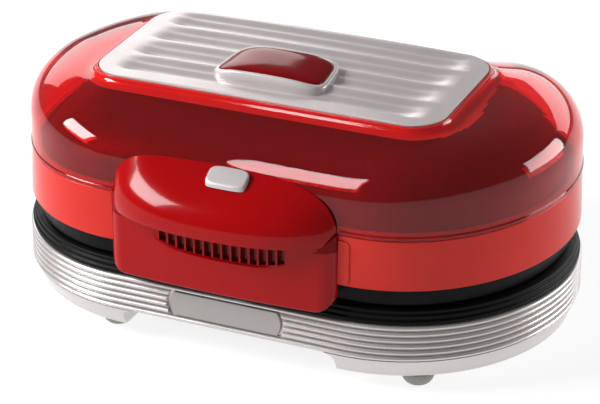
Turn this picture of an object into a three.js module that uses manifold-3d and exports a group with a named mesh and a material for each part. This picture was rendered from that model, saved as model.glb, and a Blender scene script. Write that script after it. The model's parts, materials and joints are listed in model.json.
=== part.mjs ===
// Hamburger maker: a contact grill with two round wells, a hinged lid and a push-button latch.
// Millimetres, +Z up, front towards -Y. The origin is on the ground, at the middle of the whole object.
import * as THREE from "three";
import { mergeVertices } from "three/addons/utils/BufferGeometryUtils.js";
import Module from "manifold-3d";

const wasm = await Module();
wasm.setup();

// Driving dimensions: the body's plan, an oval with straight front and back
const bodyHalfWidth = 145;
const bodyHalfDepth = 92.3;
const bodyEndLength = 85;
// Heights of the bands, from the ground up
const footHeight = 7.5;
const lobeHeight = 10.5;
const bandHeight = 19.4;
const rimHeight = 7.6;
const lidGap = 1;
const collarHeight = 9.7;
const ringHeight = 25.7;
const domeHeight = 44.8;
// The sloping top plate
const plateHalfWidth = 92.4;
const plateLength = 86;
const plateCentreY = -12;
const plateRise = 4.8;
const plateCornerRadius = 17;
// The handle
const handleHalfWidth = 60.7;
const capReach = 21.2;
// The wells that hold the patties lie side by side, with a web between them and a margin at the ends
const wellWeb = 12;
const wellEndMargin = 29;
// The rear hinge: how far behind the body and above its rim the pins are
const hingeReach = 6.7;
const hingeRise = 5;
const knuckleRadius = 6;
// Walls and clearances
const wall = 2.5;
const sheetWall = 1;
const gap = 0.3;
const overrun = 5;
const mergeTolerance = 0.0002;

// Counts of facets
const endFacets = 14;
const roundFacets = 20;
const wellFacets = 40;
const smallFacets = 12;
const cornerSteps = 4;
const earSteps = 10;
const loopSteps = 8;

const half = 1 / 2;
const quarterTurn = Math.PI / 2;

const lobeBottom = footHeight;
const bandBottom = lobeBottom + lobeHeight;
const bandTop = bandBottom + bandHeight;
const rimTop = bandTop + rimHeight;
const collarBottom = rimTop + lidGap;
const ringBottom = collarBottom + collarHeight;
const ringTop = ringBottom + ringHeight;
const plateFrontY = plateCentreY - plateLength * half;
const plateBackY = plateCentreY + plateLength * half;
const plateFrontHeight = ringTop + domeHeight;
const wellRadius = (bodyHalfWidth - wellEndMargin - wellWeb * half) * half;
const wellHalfSpacing = wellRadius + wellWeb * half;
// The hinges stand where the straight back meets the round ends
const hingeHalfSpacing = bodyHalfWidth - bodyEndLength;
const hingeY = bodyHalfDepth + hingeReach;
const hingeHeight = rimTop + hingeRise;
const capFrontY = -bodyHalfDepth - capReach;

// Plans of the ring's foot and top: a little smaller than the base, and set back
const ringSet = {
  footNarrower: 1.8,
  footDeeper: 0.5,
  footEndCut: 4.3,
  topNarrower: 3.2,
  topDeeper: 0.9,
  topEndCut: 8,
};
const ringBack = { foot: 1, top: 2 };
const ringPlan = {
  halfWidth: bodyHalfWidth - ringSet.footNarrower,
  halfDepth: bodyHalfDepth + ringSet.footDeeper,
  endLength: bodyEndLength - ringSet.footEndCut,
  centreY: ringBack.foot,
};
const ringTopPlan = {
  halfWidth: bodyHalfWidth - ringSet.topNarrower,
  halfDepth: bodyHalfDepth + ringSet.topDeeper,
  endLength: bodyEndLength - ringSet.topEndCut,
  centreY: ringBack.top,
};
const ringFrontY = ringPlan.centreY - ringPlan.halfDepth;

// Outlines in plan

function ovalOutline(inset, plan = {}) {
  const halfWidth = (plan.halfWidth ?? bodyHalfWidth) - inset;
  const halfDepth = (plan.halfDepth ?? bodyHalfDepth) - inset;
  const endLength = (plan.endLength ?? bodyEndLength) - inset;
  const centreY = plan.centreY ?? 0;
  const points = [];
  for (const side of [1, -1])
    for (let i = 0; i <= endFacets; i++) {
      const turn = -quarterTurn + (Math.PI * i) / endFacets;
      points.push([
        side * (halfWidth - endLength + endLength * Math.cos(turn)),
        centreY + side * halfDepth * Math.sin(turn),
      ]);
    }
  return points;
}

// Rounded rectangle round the top plate, whose points match those of ovalOutline one for one
function plateOutline(inset) {
  const halfWidth = plateHalfWidth - inset;
  const front = plateFrontY + inset;
  const back = plateBackY - inset;
  const radius = plateCornerRadius - inset;
  const corner = quarterTurn * radius;
  const straight = back - front - radius - radius;
  const right = [];
  for (let i = 0; i <= endFacets; i++) {
    const along = ((corner + straight + corner) * i) / endFacets;
    if (along < corner) {
      const turn = along / radius;
      right.push([halfWidth - radius + radius * Math.sin(turn), front + radius - radius * Math.cos(turn)]);
    } else if (along < corner + straight) {
      right.push([halfWidth, front + radius + along - corner]);
    } else {
      const turn = (along - corner - straight) / radius;
      right.push([halfWidth - radius + radius * Math.cos(turn), back - radius + radius * Math.sin(turn)]);
    }
  }
  return [...right, ...right.map(([x, y]) => [-x, y]).reverse()];
}

// Squared oval: power 2 is an ellipse, and more is squarer
function squareOval([x, y], [halfWidth, halfDepth], power, steps = roundFacets) {
  const swell = (value) => Math.sign(value) * Math.abs(value) ** (2 / power);
  return Array.from({ length: steps }, (_, i) => {
    const turn = (2 * Math.PI * i) / steps;
    return [x + halfWidth * swell(Math.cos(turn)), y + halfDepth * swell(Math.sin(turn))];
  });
}

// Points of an arc in a plane, from one turn to another
function arc([u, v], radius, from, to, steps) {
  return Array.from({ length: steps + 1 }, (_, i) => {
    const turn = from + ((to - from) * i) / steps;
    return [u + radius * Math.cos(turn), v + radius * Math.sin(turn)];
  });
}

// Height of the top plate's plane over a place in plan
const plateHeight = (y) => plateFrontHeight + (plateRise * (y - plateFrontY)) / plateLength;

const level = (outline, z) => outline.map(([x, y]) => [x, y, z]);
const onPlate = (outline, rise) => outline.map(([x, y]) => [x, y, plateHeight(y) + rise]);

// Solids

// A three.js geometry as a solid whose faces point out
function solid(geometry) {
  const bare = geometry.clone();
  bare.deleteAttribute("normal");
  bare.deleteAttribute("uv");
  const merged = mergeVertices(bare, mergeTolerance);
  const vertProperties = merged.attributes.position.array;
  const triVerts = new Uint32Array(merged.index.array);
  const made = new wasm.Manifold(new wasm.Mesh({ numProp: 3, vertProperties, triVerts }));
  if (made.volume() > 0) return made;
  for (let i = 0; i < triVerts.length; i += 3)
    [triVerts[i + 1], triVerts[i + 2]] = [triVerts[i + 2], triVerts[i + 1]];
  return new wasm.Manifold(new wasm.Mesh({ numProp: 3, vertProperties, triVerts }));
}

const join = (first, ...others) => others.reduce((all, next) => all.add(next), first);
const cut = (first, ...others) => others.reduce((left, next) => left.subtract(next), first);

// A closed body through rings of points, with flat ends that are filled as seen along an axis
function loft(rings, seen = ([x, y]) => [x, y]) {
  const count = rings[0].length;
  const faces = [];
  for (let r = 0; r < rings.length - 1; r++) faces.push(...bandFaces(r * count, (r + 1) * count, count));
  const endFaces = (ring) =>
    THREE.ShapeUtils.triangulateShape(
      ring.map((point) => new THREE.Vector2(...seen(point))),
      [],
    );
  const last = (rings.length - 1) * count;
  for (const [a, b, c] of endFaces(rings[0])) faces.push(a, c, b);
  for (const [a, b, c] of endFaces(rings[rings.length - 1])) faces.push(last + a, last + b, last + c);
  return solid(fromFaces(rings, faces));
}

// A ring-shaped body whose cross-section runs through rings of points and closes on the first
function hoop(rings) {
  const count = rings[0].length;
  const faces = [];
  rings.forEach((_, r) => faces.push(...bandFaces(r * count, ((r + 1) % rings.length) * count, count)));
  return solid(fromFaces(rings, faces));
}

function bandFaces(low, high, count) {
  const faces = [];
  for (let i = 0; i < count; i++) {
    const next = (i + 1) % count;
    faces.push(low + i, low + next, high + next, low + i, high + next, high + i);
  }
  return faces;
}

function fromFaces(rings, faces) {
  const geometry = new THREE.BufferGeometry();
  geometry.setAttribute("position", new THREE.Float32BufferAttribute(rings.flat(2), 3));
  geometry.setIndex(faces);
  return geometry;
}

const sideLoft = (sections) => loft(sections, ([, y, z]) => [y, z]);
const upright = (outline, low, high) => loft([level(outline, low), level(outline, high)]);
const ovalBand = (corners, plan) => hoop(corners.map(([inset, z]) => level(ovalOutline(inset, plan), z)));

// A box from its lowest and highest places along each axis
function block([x0, x1], [y0, y1], [z0, z1]) {
  const box = new THREE.BoxGeometry(x1 - x0, y1 - y0, z1 - z0);
  return solid(box.translate((x0 + x1) * half, (y0 + y1) * half, (z0 + z1) * half));
}

// A round bar along an axis, from one place on it to another
function bar(axis, radius, [from, to], [u, v], facets = roundFacets) {
  const cylinder = new THREE.CylinderGeometry(radius, radius, Math.abs(to - from), facets);
  const middle = (from + to) * half;
  if (axis === "x") cylinder.rotateZ(quarterTurn).translate(middle, u, v);
  if (axis === "y") cylinder.translate(u, middle, v);
  if (axis === "z") cylinder.rotateX(quarterTurn).translate(u, v, middle);
  return solid(cylinder);
}

// A front view of [x, z] corners, run from one depth to another
function frontPrism(corners, [y0, y1]) {
  const shape = new THREE.Shape(corners.map(([x, z]) => new THREE.Vector2(x, z)));
  const prism = new THREE.ExtrudeGeometry(shape, { depth: y1 - y0, bevelEnabled: false });
  return solid(prism.rotateX(quarterTurn).translate(0, y1, 0));
}

// A side view of [y, z] corners, run from one width to another
function sidePrism(corners, [x0, x1]) {
  const shape = new THREE.Shape(corners.map(([y, z]) => new THREE.Vector2(y, z)));
  const prism = new THREE.ExtrudeGeometry(shape, { depth: x1 - x0, bevelEnabled: false });
  return solid(prism.rotateX(quarterTurn).rotateZ(quarterTurn).translate(x0, 0, 0));
}

// A screw along an axis: its head stands on the headSide of a face, its shank runs the other way
const screwSize = { headRadius: 3.2, headHeight: 1.5, shankRadius: 1.5 };
function screw(axis, place, face, headSide, shankLength) {
  const { headRadius, headHeight, shankRadius } = screwSize;
  const head = face + headSide * headHeight;
  const shankStart = face + headSide * headHeight * half;
  return join(
    bar(axis, headRadius, [face, head], place, smallFacets),
    bar(axis, shankRadius, [shankStart, face - headSide * shankLength], place, smallFacets),
  );
}
const screwHole = (axis, place, span) => bar(axis, screwSize.shankRadius + gap, span, place, smallFacets);

// Finishes
const paints = {
  silver: { color: 0xb9b4b2, roughness: 0.35, metalness: 0.6 },
  footGrey: { color: 0xa4a29f, roughness: 0.7, metalness: 0 },
  black: { color: 0x1b1b1d, roughness: 0.5, metalness: 0 },
  ringRed: { color: 0xd83a35, roughness: 0.35, metalness: 0 },
  handleRed: { color: 0xbe1e26, roughness: 0.2, metalness: 0 },
  ruby: { color: 0x6e0d12, roughness: 0.08, metalness: 0 },
  darkLiner: { color: 0x2a0c0d, roughness: 0.6, metalness: 0 },
  plateSilver: { color: 0xc6bfbf, roughness: 0.4, metalness: 0.7 },
  lensRed: { color: 0x7c0f18, roughness: 0.1, metalness: 0 },
  padGrey: { color: 0xc6bfbf, roughness: 0.4, metalness: 0 },
  castPlate: { color: 0x35332f, roughness: 0.55, metalness: 0.4 },
  heaterGrey: { color: 0x77716a, roughness: 0.5, metalness: 0.8 },
  tinPlate: { color: 0xc9c9c7, roughness: 0.3, metalness: 0.9 },
  steel: { color: 0x9c9c9e, roughness: 0.3, metalness: 0.9 },
  whiteCeramic: { color: 0xe8e4da, roughness: 0.5, metalness: 0 },
};

const hamburgerMaker = new THREE.Group();
hamburgerMaker.name = "hamburger_maker";

// The handle reaches further forward than the hinge reaches back, so the whole is moved to its middle
hamburgerMaker.position.y = (-capFrontY - hingeY - knuckleRadius) * half;

function add(name, body, paint) {
  const mesh = body.getMesh();
  const geometry = new THREE.BufferGeometry();
  geometry.setAttribute("position", new THREE.BufferAttribute(mesh.vertProperties, mesh.numProp));
  geometry.setIndex(new THREE.BufferAttribute(mesh.triVerts, 1));
  geometry.computeVertexNormals();
  const made = new THREE.Mesh(geometry, new THREE.MeshStandardMaterial(paints[paint]));
  made.name = name;
  hamburgerMaker.add(made);
}

// Base tub: six ribs round its band, a smooth lobe under each end and an arch between them
const tub = {
  ribCount: 6,
  ribDepth: 0.9,
  ribShoulderShare: 0.25,
  lobeTuckWidth: 4,
  lobeTuckDepth: 5,
  lobeTuckEnd: 2.4,
  lobeEdge: 2.5,
  archHalfWidth: 58,
  archTopRadius: 3,
  archBottomRadius: 1,
};
const tubFloorTop = bandBottom + wall;
const ribPitch = bandHeight / tub.ribCount;
const tubInnerInset = tub.ribDepth + wall;
const tubRearInside = bodyHalfDepth - tubInnerInset;
const lobePlan = {
  halfWidth: bodyHalfWidth - tub.lobeTuckWidth,
  halfDepth: bodyHalfDepth - tub.lobeTuckDepth,
  endLength: bodyEndLength - tub.lobeTuckEnd,
};

const plaque = { halfWidth: 29.5, bulge: 2, lowRibCount: 1, highRibCount: 5, depth: 1.9, thickness: 0.8 };
const gland = {
  sleeveRadius: 5.2,
  boreRadius: 3.5,
  flangeRadius: 8.5,
  flange: 3,
  rise: 7.5,
  insideReach: 2.4,
};
const glandHeight = tubFloorTop + gland.rise;
const foot = { topRadius: 8.4, middleRadius: 7.6, bottomRadius: 4.8, pegRadius: 3, pegHeight: 1.5 };
const footInset = { archSide: 12, archPairEdge: 21.3, end: 53, endPairEdge: 24.3 };
const cover = { sideGap: 0.6, halfDepth: 60, overlap: 7, thickness: 1.6, lip: 1.5 };
const coverHalfWidth = tub.archHalfWidth - tub.archTopRadius - cover.sideGap - cover.overlap;
const vent = { count: 7, width: 3, halfLength: 18 };
const bracket = {
  earGap: 0.4,
  earThickness: 6,
  plateThickness: 3,
  rise: 1.5,
  plateHeight: 14,
  screwInset: 3.5,
};
const bracketBottom = tubFloorTop + bracket.rise;
const bracketTop = bracketBottom + bracket.plateHeight;
const bracketScrewHeights = [bracketBottom + bracket.screwInset, bracketTop - bracket.screwInset];

// The feet stand on the lobes, one pair near the arch and one near the ends; each pair lies corner to corner
const nearArch = [tub.archHalfWidth + footInset.archSide, bodyHalfDepth - footInset.archPairEdge];
const nearEnd = [bodyHalfWidth - footInset.end, bodyHalfDepth - footInset.endPairEdge];
const footSpots = {
  foot_front_left: [-nearArch[0], -nearArch[1]],
  foot_front_right: [nearEnd[0], -nearEnd[1]],
  foot_rear_left: [-nearEnd[0], nearEnd[1]],
  foot_rear_right: nearArch,
};

const coverScrewSpots = [-1, 1].flatMap((end) =>
  [-1, 1].map((side) => [
    side * (coverHalfWidth + cover.overlap * half),
    end * (cover.halfDepth - cover.overlap),
  ]),
);

// The open space under the middle, grown by a wall where the tub's inside follows it
function archSpace(grown) {
  const halfWidth = tub.archHalfWidth + grown;
  const top = bandBottom + grown;
  const foot = halfWidth + tub.archBottomRadius;
  const footCentre = [foot, lobeBottom + tub.archBottomRadius];
  const topCentre = [halfWidth - tub.archTopRadius, top - tub.archTopRadius];
  const right = [
    [foot + overrun, lobeBottom - overrun],
    [foot + overrun, lobeBottom],
    ...arc(footCentre, tub.archBottomRadius, -quarterTurn, -Math.PI, cornerSteps),
    ...arc(topCentre, tub.archTopRadius, 0, quarterTurn, cornerSteps),
  ];
  const left = right.map(([x, z]) => [-x, z]).reverse();
  return frontPrism([...right, ...left], [-bodyHalfDepth - overrun, bodyHalfDepth + overrun]);
}

function ribLevels() {
  const rings = [level(ovalOutline(tub.ribDepth), bandBottom)];
  for (let i = 0; i < tub.ribCount; i++) {
    const low = bandBottom + i * ribPitch;
    const high = low + ribPitch;
    const shoulder = ribPitch * tub.ribShoulderShare;
    rings.push(level(ovalOutline(0), low + shoulder));
    rings.push(level(ovalOutline(0), high - shoulder));
    rings.push(level(ovalOutline(tub.ribDepth), high));
  }
  return rings;
}

// The plaque's front view: straight top and bottom, ends bowed out
const bowShares = [0, 0.25, 0.5, 0.75, 1];
function plaqueCorners(inset) {
  const low = bandBottom + plaque.lowRibCount * ribPitch + inset;
  const high = bandBottom + plaque.highRibCount * ribPitch - inset;
  const end = (side) =>
    bowShares.map((share) => [
      side * (plaque.halfWidth - inset + plaque.bulge * (1 - (2 * share - 1) ** 2)),
      low + (high - low) * share,
    ]);
  return [...end(1), ...end(-1).reverse()];
}

function buildTub() {
  const edgeRun = tub.lobeEdge * (1 - Math.SQRT1_2);
  const outerLobes = cut(
    loft([
      level(ovalOutline(tub.lobeEdge, lobePlan), lobeBottom),
      level(ovalOutline(edgeRun, lobePlan), lobeBottom + edgeRun),
      level(ovalOutline(0, lobePlan), lobeBottom + tub.lobeEdge),
      level(ovalOutline(tub.ribDepth), bandBottom),
      level(ovalOutline(tubInnerInset), tubFloorTop),
    ]),
    archSpace(0),
  );
  const innerLobes = cut(
    loft([
      level(ovalOutline(wall + tub.lobeEdge, lobePlan), lobeBottom + wall),
      level(ovalOutline(wall, lobePlan), lobeBottom + wall + tub.lobeEdge),
      level(ovalOutline(tubInnerInset), bandBottom),
      level(ovalOutline(tubInnerInset), tubFloorTop + wall),
    ]),
    archSpace(wall),
  );
  const throughRear = [tubRearInside - overrun, bodyHalfDepth + overrun];
  const throughFloor = [bandBottom - overrun, tubFloorTop + overrun];
  const bracketHoles = [-1, 1].flatMap((side) =>
    bracketScrewHeights.map((z) => screwHole("y", [side * hingeHalfSpacing, z], throughRear)),
  );
  const footHoleSpan = [lobeBottom - overrun, lobeBottom + foot.pegHeight + gap];
  const footHoles = Object.values(footSpots).map((spot) =>
    bar("z", foot.pegRadius + gap, footHoleSpan, spot, smallFacets),
  );
  return cut(
    join(loft(ribLevels()), outerLobes),
    upright(ovalOutline(tubInnerInset), tubFloorTop, bandTop + overrun),
    innerLobes,
    frontPrism(plaqueCorners(0), [-bodyHalfDepth - overrun, -bodyHalfDepth + plaque.depth]),
    block([-coverHalfWidth, coverHalfWidth], [-cover.halfDepth, cover.halfDepth], throughFloor),
    bar("y", gland.sleeveRadius + gap, throughRear, [0, glandHeight]),
    ...bracketHoles,
    ...coverScrewSpots.map((spot) => screwHole("z", spot, throughFloor)),
    ...footHoles,
  );
}
add("base_tub", buildTub(), "silver");

const plaqueBack = -bodyHalfDepth + plaque.depth - gap;
add("front_plaque", frontPrism(plaqueCorners(gap), [plaqueBack - plaque.thickness, plaqueBack]), "silver");

// Bottom cover: a vented sheet under the arch's roof, with a lip that locates it in the opening
const coverTop = bandBottom - gap;
const coverBottom = coverTop - cover.thickness;
function buildCover() {
  const reachX = coverHalfWidth + cover.overlap;
  const reachY = cover.halfDepth + cover.overlap;
  const lipX = coverHalfWidth - gap;
  const lipY = cover.halfDepth - gap;
  const plate = join(
    block([-reachX, reachX], [-reachY, reachY], [coverBottom, coverTop]),
    block([-lipX, lipX], [-lipY, lipY], [coverBottom, coverTop + cover.lip]),
  );
  const pitch = (2 * coverHalfWidth) / (vent.count + 1);
  const through = [coverBottom - overrun, tubFloorTop + overrun];
  const vents = Array.from({ length: vent.count }, (_, i) => {
    const x = -coverHalfWidth + (i + 1) * pitch;
    const sides = [x - vent.width * half, x + vent.width * half];
    return block(sides, [-vent.halfLength, vent.halfLength], through);
  });
  return cut(plate, ...vents, ...coverScrewSpots.map((spot) => screwHole("z", spot, through)));
}
add("bottom_cover", buildCover(), "black");
coverScrewSpots.forEach((spot, i) =>
  add("cover_screw_" + (i + 1), screw("z", spot, coverBottom - gap, -1, tubFloorTop - coverBottom), "steel"),
);

// Feet: round-bottomed rubber, each with a peg in its lobe
function buildFoot([x, y]) {
  const top = lobeBottom - gap;
  const profile = [
    [0, 0],
    [foot.bottomRadius, 0],
    [foot.middleRadius, (foot.middleRadius - foot.bottomRadius) * half],
    [foot.topRadius, top],
    [foot.pegRadius, top],
    [foot.pegRadius, lobeBottom + foot.pegHeight],
    [0, lobeBottom + foot.pegHeight],
  ].map(([radius, z]) => new THREE.Vector2(radius, z));
  return solid(new THREE.LatheGeometry(profile, roundFacets).rotateX(quarterTurn).translate(x, y, 0));
}
for (const [name, spot] of Object.entries(footSpots)) add(name, buildFoot(spot), "footGrey");

// Base rim: stepped outside, a ledge inside for the cooking plate, a lip down inside the tub
const rim = {
  outerInset: 1,
  step: 0.9,
  crownSlope: 1.4,
  innerInset: 12,
  ledgeWidth: 5,
  plateRecess: 4.8,
  underlap: 3.5,
  lipThickness: 2.2,
  edge: 0.8,
};
const stepShares = [0.21, 0.32, 0.57, 0.67, 0.88];
const rimBottom = bandTop + gap;
const ledgeTop = rimTop - rim.plateRecess;
const rimLipInset = tubInnerInset + gap;
const stepHeights = stepShares.map((share) => rimBottom + (rimTop - rimBottom) * share);
const rimFrontInset = rim.outerInset + rim.step + rim.step;

const keeper = {
  tabLength: 3,
  postWidth: 7,
  tabHeight: 1.7,
  openingHeight: 1.6,
  frontReach: 4,
  backGap: 2,
  tongueDepth: 4,
  tongueInset: 1,
};
const keeperBack = ringFrontY + keeper.backGap;
const keeperFront = ringFrontY - keeper.frontReach;
const keeperBottom = stepHeights[3] + gap;
const tongueTop = rimTop - rim.edge;
const tongueLeft = keeper.tabLength + keeper.tongueInset;
const tongueRight = keeper.tabLength + keeper.postWidth - keeper.tongueInset;

add(
  "base_rim",
  cut(
    ovalBand([
      [rim.outerInset, rimBottom],
      [rim.outerInset, stepHeights[0]],
      [rim.outerInset + rim.step, stepHeights[1]],
      [rim.outerInset + rim.step, stepHeights[2]],
      [rimFrontInset, stepHeights[3]],
      [rimFrontInset, stepHeights[4]],
      [rimFrontInset + rim.crownSlope, rimTop],
      [rim.innerInset - rim.edge - rim.edge, rimTop],
      [rim.innerInset, rimTop - rim.edge],
      [rim.innerInset, ledgeTop],
      [rim.innerInset + rim.ledgeWidth, ledgeTop],
      [rim.innerInset + rim.ledgeWidth, rimBottom + gap],
      [rimLipInset + rim.lipThickness, rimBottom + gap],
      [rimLipInset + rim.lipThickness, rimBottom - rim.underlap],
      [rimLipInset, rimBottom - rim.underlap],
      [rimLipInset, rimBottom],
    ]),
    block(
      [tongueLeft - gap, tongueRight + gap],
      [-bodyHalfDepth - overrun, keeperBack + keeper.tongueDepth + gap],
      [keeperBottom - gap, tongueTop + gap],
    ),
  ),
  "black",
);

// Latch keeper: a steel post on the rim with a tab, under which the latch plate's foot catches
const keeperOpening = rimTop + keeper.openingHeight;
const keeperTop = keeperOpening + keeper.tabHeight;
const keeperRight = keeper.tabLength + keeper.postWidth;
add(
  "latch_keeper",
  join(
    frontPrism(
      [
        [keeper.tabLength, keeperBottom],
        [keeperRight, keeperBottom],
        [keeperRight, keeperTop],
        [0, keeperTop],
        [0, keeperOpening],
        [keeper.tabLength, keeperOpening],
      ],
      [keeperFront, keeperBack],
    ),
    block(
      [tongueLeft, tongueRight],
      [keeperFront, keeperBack + keeper.tongueDepth],
      [keeperBottom, tongueTop],
    ),
  ),
  "steel",
);

// Cooking plates: cast, with a round well for each patty and low bars across the wells
const cooking = {
  thickness: 3.2,
  lowerDepth: 9,
  upperDepth: 7,
  cupWall: 3,
  barCount: 5,
  barWidth: 2.4,
  barHeight: 1.2,
  barReachShare: 0.82,
};
const inOrder = (a, b) => (a < b ? [a, b] : [b, a]);

// A plate whose wells sink away from the face at faceZ; up is 1 where the face looks up
function buildCookingPlate(outline, faceZ, up, depth) {
  const floorZ = faceZ - up * depth;
  const cup = inOrder(faceZ - up * cooking.thickness * half, floorZ - up * cooking.cupWall);
  const bore = inOrder(faceZ + up * overrun, floorZ);
  const barSpan = inOrder(floorZ - up * cooking.cupWall * half, floorZ + up * cooking.barHeight);
  const barPitch = (2 * wellRadius) / (cooking.barCount + 1);
  const [low, high] = inOrder(faceZ, faceZ - up * cooking.thickness);
  const centres = [-wellHalfSpacing, wellHalfSpacing];
  const cups = centres.map((x) => bar("z", wellRadius + cooking.cupWall, cup, [x, 0], wellFacets));
  const bores = centres.map((x) => bar("z", wellRadius, bore, [x, 0], wellFacets));
  const bars = centres.flatMap((centre) =>
    Array.from({ length: cooking.barCount }, (_, i) => {
      const x = -wellRadius + (i + 1) * barPitch;
      const reach = Math.sqrt(wellRadius ** 2 - x ** 2) * cooking.barReachShare;
      const sides = [centre + x - cooking.barWidth * half, centre + x + cooking.barWidth * half];
      return block(sides, [-reach, reach], barSpan);
    }),
  );
  return join(cut(join(upright(outline, low, high), ...cups), ...bores), ...bars);
}

const lowerUnderside = ledgeTop + gap;
const lowerFace = lowerUnderside + cooking.thickness;
const lowerCupBottom = lowerFace - cooking.lowerDepth - cooking.cupWall;
const lowerOutline = ovalOutline(rim.innerInset + gap);
add("lower_cooking_plate", buildCookingPlate(lowerOutline, lowerFace, 1, cooking.lowerDepth), "castPlate");

// Heating elements: one tube looped under both wells, with its two cold ends turned to the rear
const heater = { radius: 3.2, loopInset: 17, run: 4, endHalfSpacing: 12, bend: 10, endGap: 7.4 };
const terminal = { halfWidth: 14, depth: 10, rearGap: 3.5, height: 11, poleCount: 3, poleRadius: 2 };
const terminalFront = tubRearInside - terminal.rearGap - terminal.depth;
const heaterSteps = 44;
const heaterSides = 4;
function buildHeater(z) {
  const { loopInset, run, endHalfSpacing, bend, endGap } = heater;
  const loopRadius = wellRadius - loopInset;
  const right = [
    ...arc([wellHalfSpacing, 0], loopRadius, -quarterTurn, quarterTurn, loopSteps),
    [endHalfSpacing + bend + run, loopRadius],
    ...arc([endHalfSpacing + bend, loopRadius + bend], bend, -quarterTurn, -Math.PI, cornerSteps),
    [endHalfSpacing, terminalFront - endGap],
  ];
  const left = right.map(([x, y]) => [-x, y]).reverse();
  const points = [...left, ...right].map(([x, y]) => new THREE.Vector3(x, y, z));
  const section = new THREE.Shape().absarc(0, 0, heater.radius, 0, 2 * Math.PI);
  return solid(
    new THREE.ExtrudeGeometry(section, {
      extrudePath: new THREE.CatmullRomCurve3(points, false, "centripetal"),
      steps: heaterSteps,
      curveSegments: heaterSides,
      bevelEnabled: false,
    }),
  );
}
add("lower_heating_element", buildHeater(lowerCupBottom - gap - heater.radius), "heaterGrey");

// Reflectors: shallow sheet trays behind the heating elements; up is 1 where the tray opens upwards
const reflector = { inset: 22, edgeHeight: 3, flare: 1.5 };
function buildReflector(outsideZ, up) {
  const { inset, edgeHeight, flare } = reflector;
  const rings = [
    [inset, 0],
    [inset - flare, edgeHeight],
    [inset - flare + sheetWall, edgeHeight],
    [inset + sheetWall, sheetWall],
  ];
  return loft(rings.map(([at, rise]) => level(ovalOutline(at), outsideZ + up * rise)));
}
add("lower_reflector", buildReflector(tubFloorTop + gap, 1), "tinPlate");

// Controls: held against the underside of the lower plate, between the wells
const thermostat = { radius: 8, height: 9, waistShare: 0.7 };
const fuse = { radius: 2.5, halfLength: 9 };
const controlInset = 31.3;
const controlReach = bodyHalfDepth - rim.innerInset - controlInset;
const controlTop = lowerUnderside - gap;
add(
  "thermostat",
  join(
    bar("z", thermostat.radius, [controlTop - thermostat.height * half, controlTop], [0, controlReach]),
    bar(
      "z",
      thermostat.radius * thermostat.waistShare,
      [controlTop - thermostat.height, controlTop],
      [0, controlReach],
    ),
  ),
  "whiteCeramic",
);
add(
  "thermal_fuse",
  bar(
    "x",
    fuse.radius,
    [-fuse.halfLength, fuse.halfLength],
    [-controlReach, controlTop - fuse.radius],
    smallFacets,
  ),
  "steel",
);

function buildTerminalBlock() {
  const floor = tubFloorTop + gap;
  const top = floor + terminal.height;
  const back = terminalFront + terminal.depth;
  const body = block([-terminal.halfWidth, terminal.halfWidth], [terminalFront, back], [floor, top]);
  const pitch = (2 * terminal.halfWidth) / terminal.poleCount;
  const poles = Array.from({ length: terminal.poleCount }, (_, i) => {
    const spot = [-terminal.halfWidth + (i + half) * pitch, back - terminal.depth * half];
    return bar("z", terminal.poleRadius, [top - terminal.height * half, top + overrun], spot, smallFacets);
  });
  return cut(body, ...poles);
}
add("terminal_block", buildTerminalBlock(), "whiteCeramic");

const glandFace = bodyHalfDepth + gap;
const glandInside = tubRearInside - gland.insideReach;
add(
  "cord_gland",
  cut(
    join(
      bar("y", gland.flangeRadius, [glandFace, glandFace + gland.flange], [0, glandHeight]),
      bar("y", gland.sleeveRadius, [glandInside, glandFace + gland.flange], [0, glandHeight]),
    ),
    bar("y", gland.boreRadius, [glandInside - overrun, glandFace + gland.flange + overrun], [0, glandHeight]),
  ),
  "black",
);

// Hinge: a bracket with two ears on the base, an arm between them on the lid, and a pin through both
const knuckleHalfWidth = 5.6;
const pin = { radius: 2.5, runningGap: 0.1, headRadius: 3.6, headHeight: 1.2, endReach: 1 };
const arm = { thickness: 3.2, topDrop: 3.4, footRise: 1.3, flareRise: 3, screwInset: 5, screwPitch: 9 };
const earInner = knuckleHalfWidth + bracket.earGap;
const earOuter = earInner + bracket.earThickness;
const bracketFace = bodyHalfDepth + gap;
const bracketBack = bracketFace + bracket.plateThickness;
const pinBore = (span) => bar("x", pin.radius + pin.runningGap, span, [hingeY, hingeHeight]);

function buildBracket(centre) {
  const ear = [
    [bracketFace, bracketBottom + bracket.screwInset],
    [bracketBack, bracketBottom + bracket.screwInset],
    [hingeY + knuckleRadius, hingeHeight - knuckleRadius],
    ...arc([hingeY, hingeHeight], knuckleRadius, 0, Math.PI, earSteps),
    [hingeY - knuckleRadius, bracketTop],
    [bracketFace, bracketTop],
  ];
  const plate = block(
    [centre - earOuter, centre + earOuter],
    [bracketFace, bracketBack],
    [bracketBottom, bracketTop],
  );
  const holes = bracketScrewHeights.map((z) =>
    screwHole("y", [centre, z], [bracketFace - overrun, bracketBack + overrun]),
  );
  return cut(
    join(
      plate,
      sidePrism(ear, [centre - earOuter, centre - earInner]),
      sidePrism(ear, [centre + earInner, centre + earOuter]),
    ),
    pinBore([centre - earOuter - overrun, centre + earOuter + overrun]),
    ...holes,
  );
}

// Faces of the leaning ring at a height
const rearFoot = ringPlan.centreY + ringPlan.halfDepth;
const rearTop = ringTopPlan.centreY + ringTopPlan.halfDepth;
const ringRearAt = (z) => rearFoot + ((rearTop - rearFoot) * (z - ringBottom)) / ringHeight;

const armTop = ringTop - arm.topDrop;
const armFoot = ringBottom + arm.footRise;
const armScrewHeights = [armTop - arm.screwInset - arm.screwPitch, armTop - arm.screwInset];
const armBackAt = (z) => ringRearAt(z) + gap + arm.thickness;

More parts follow.
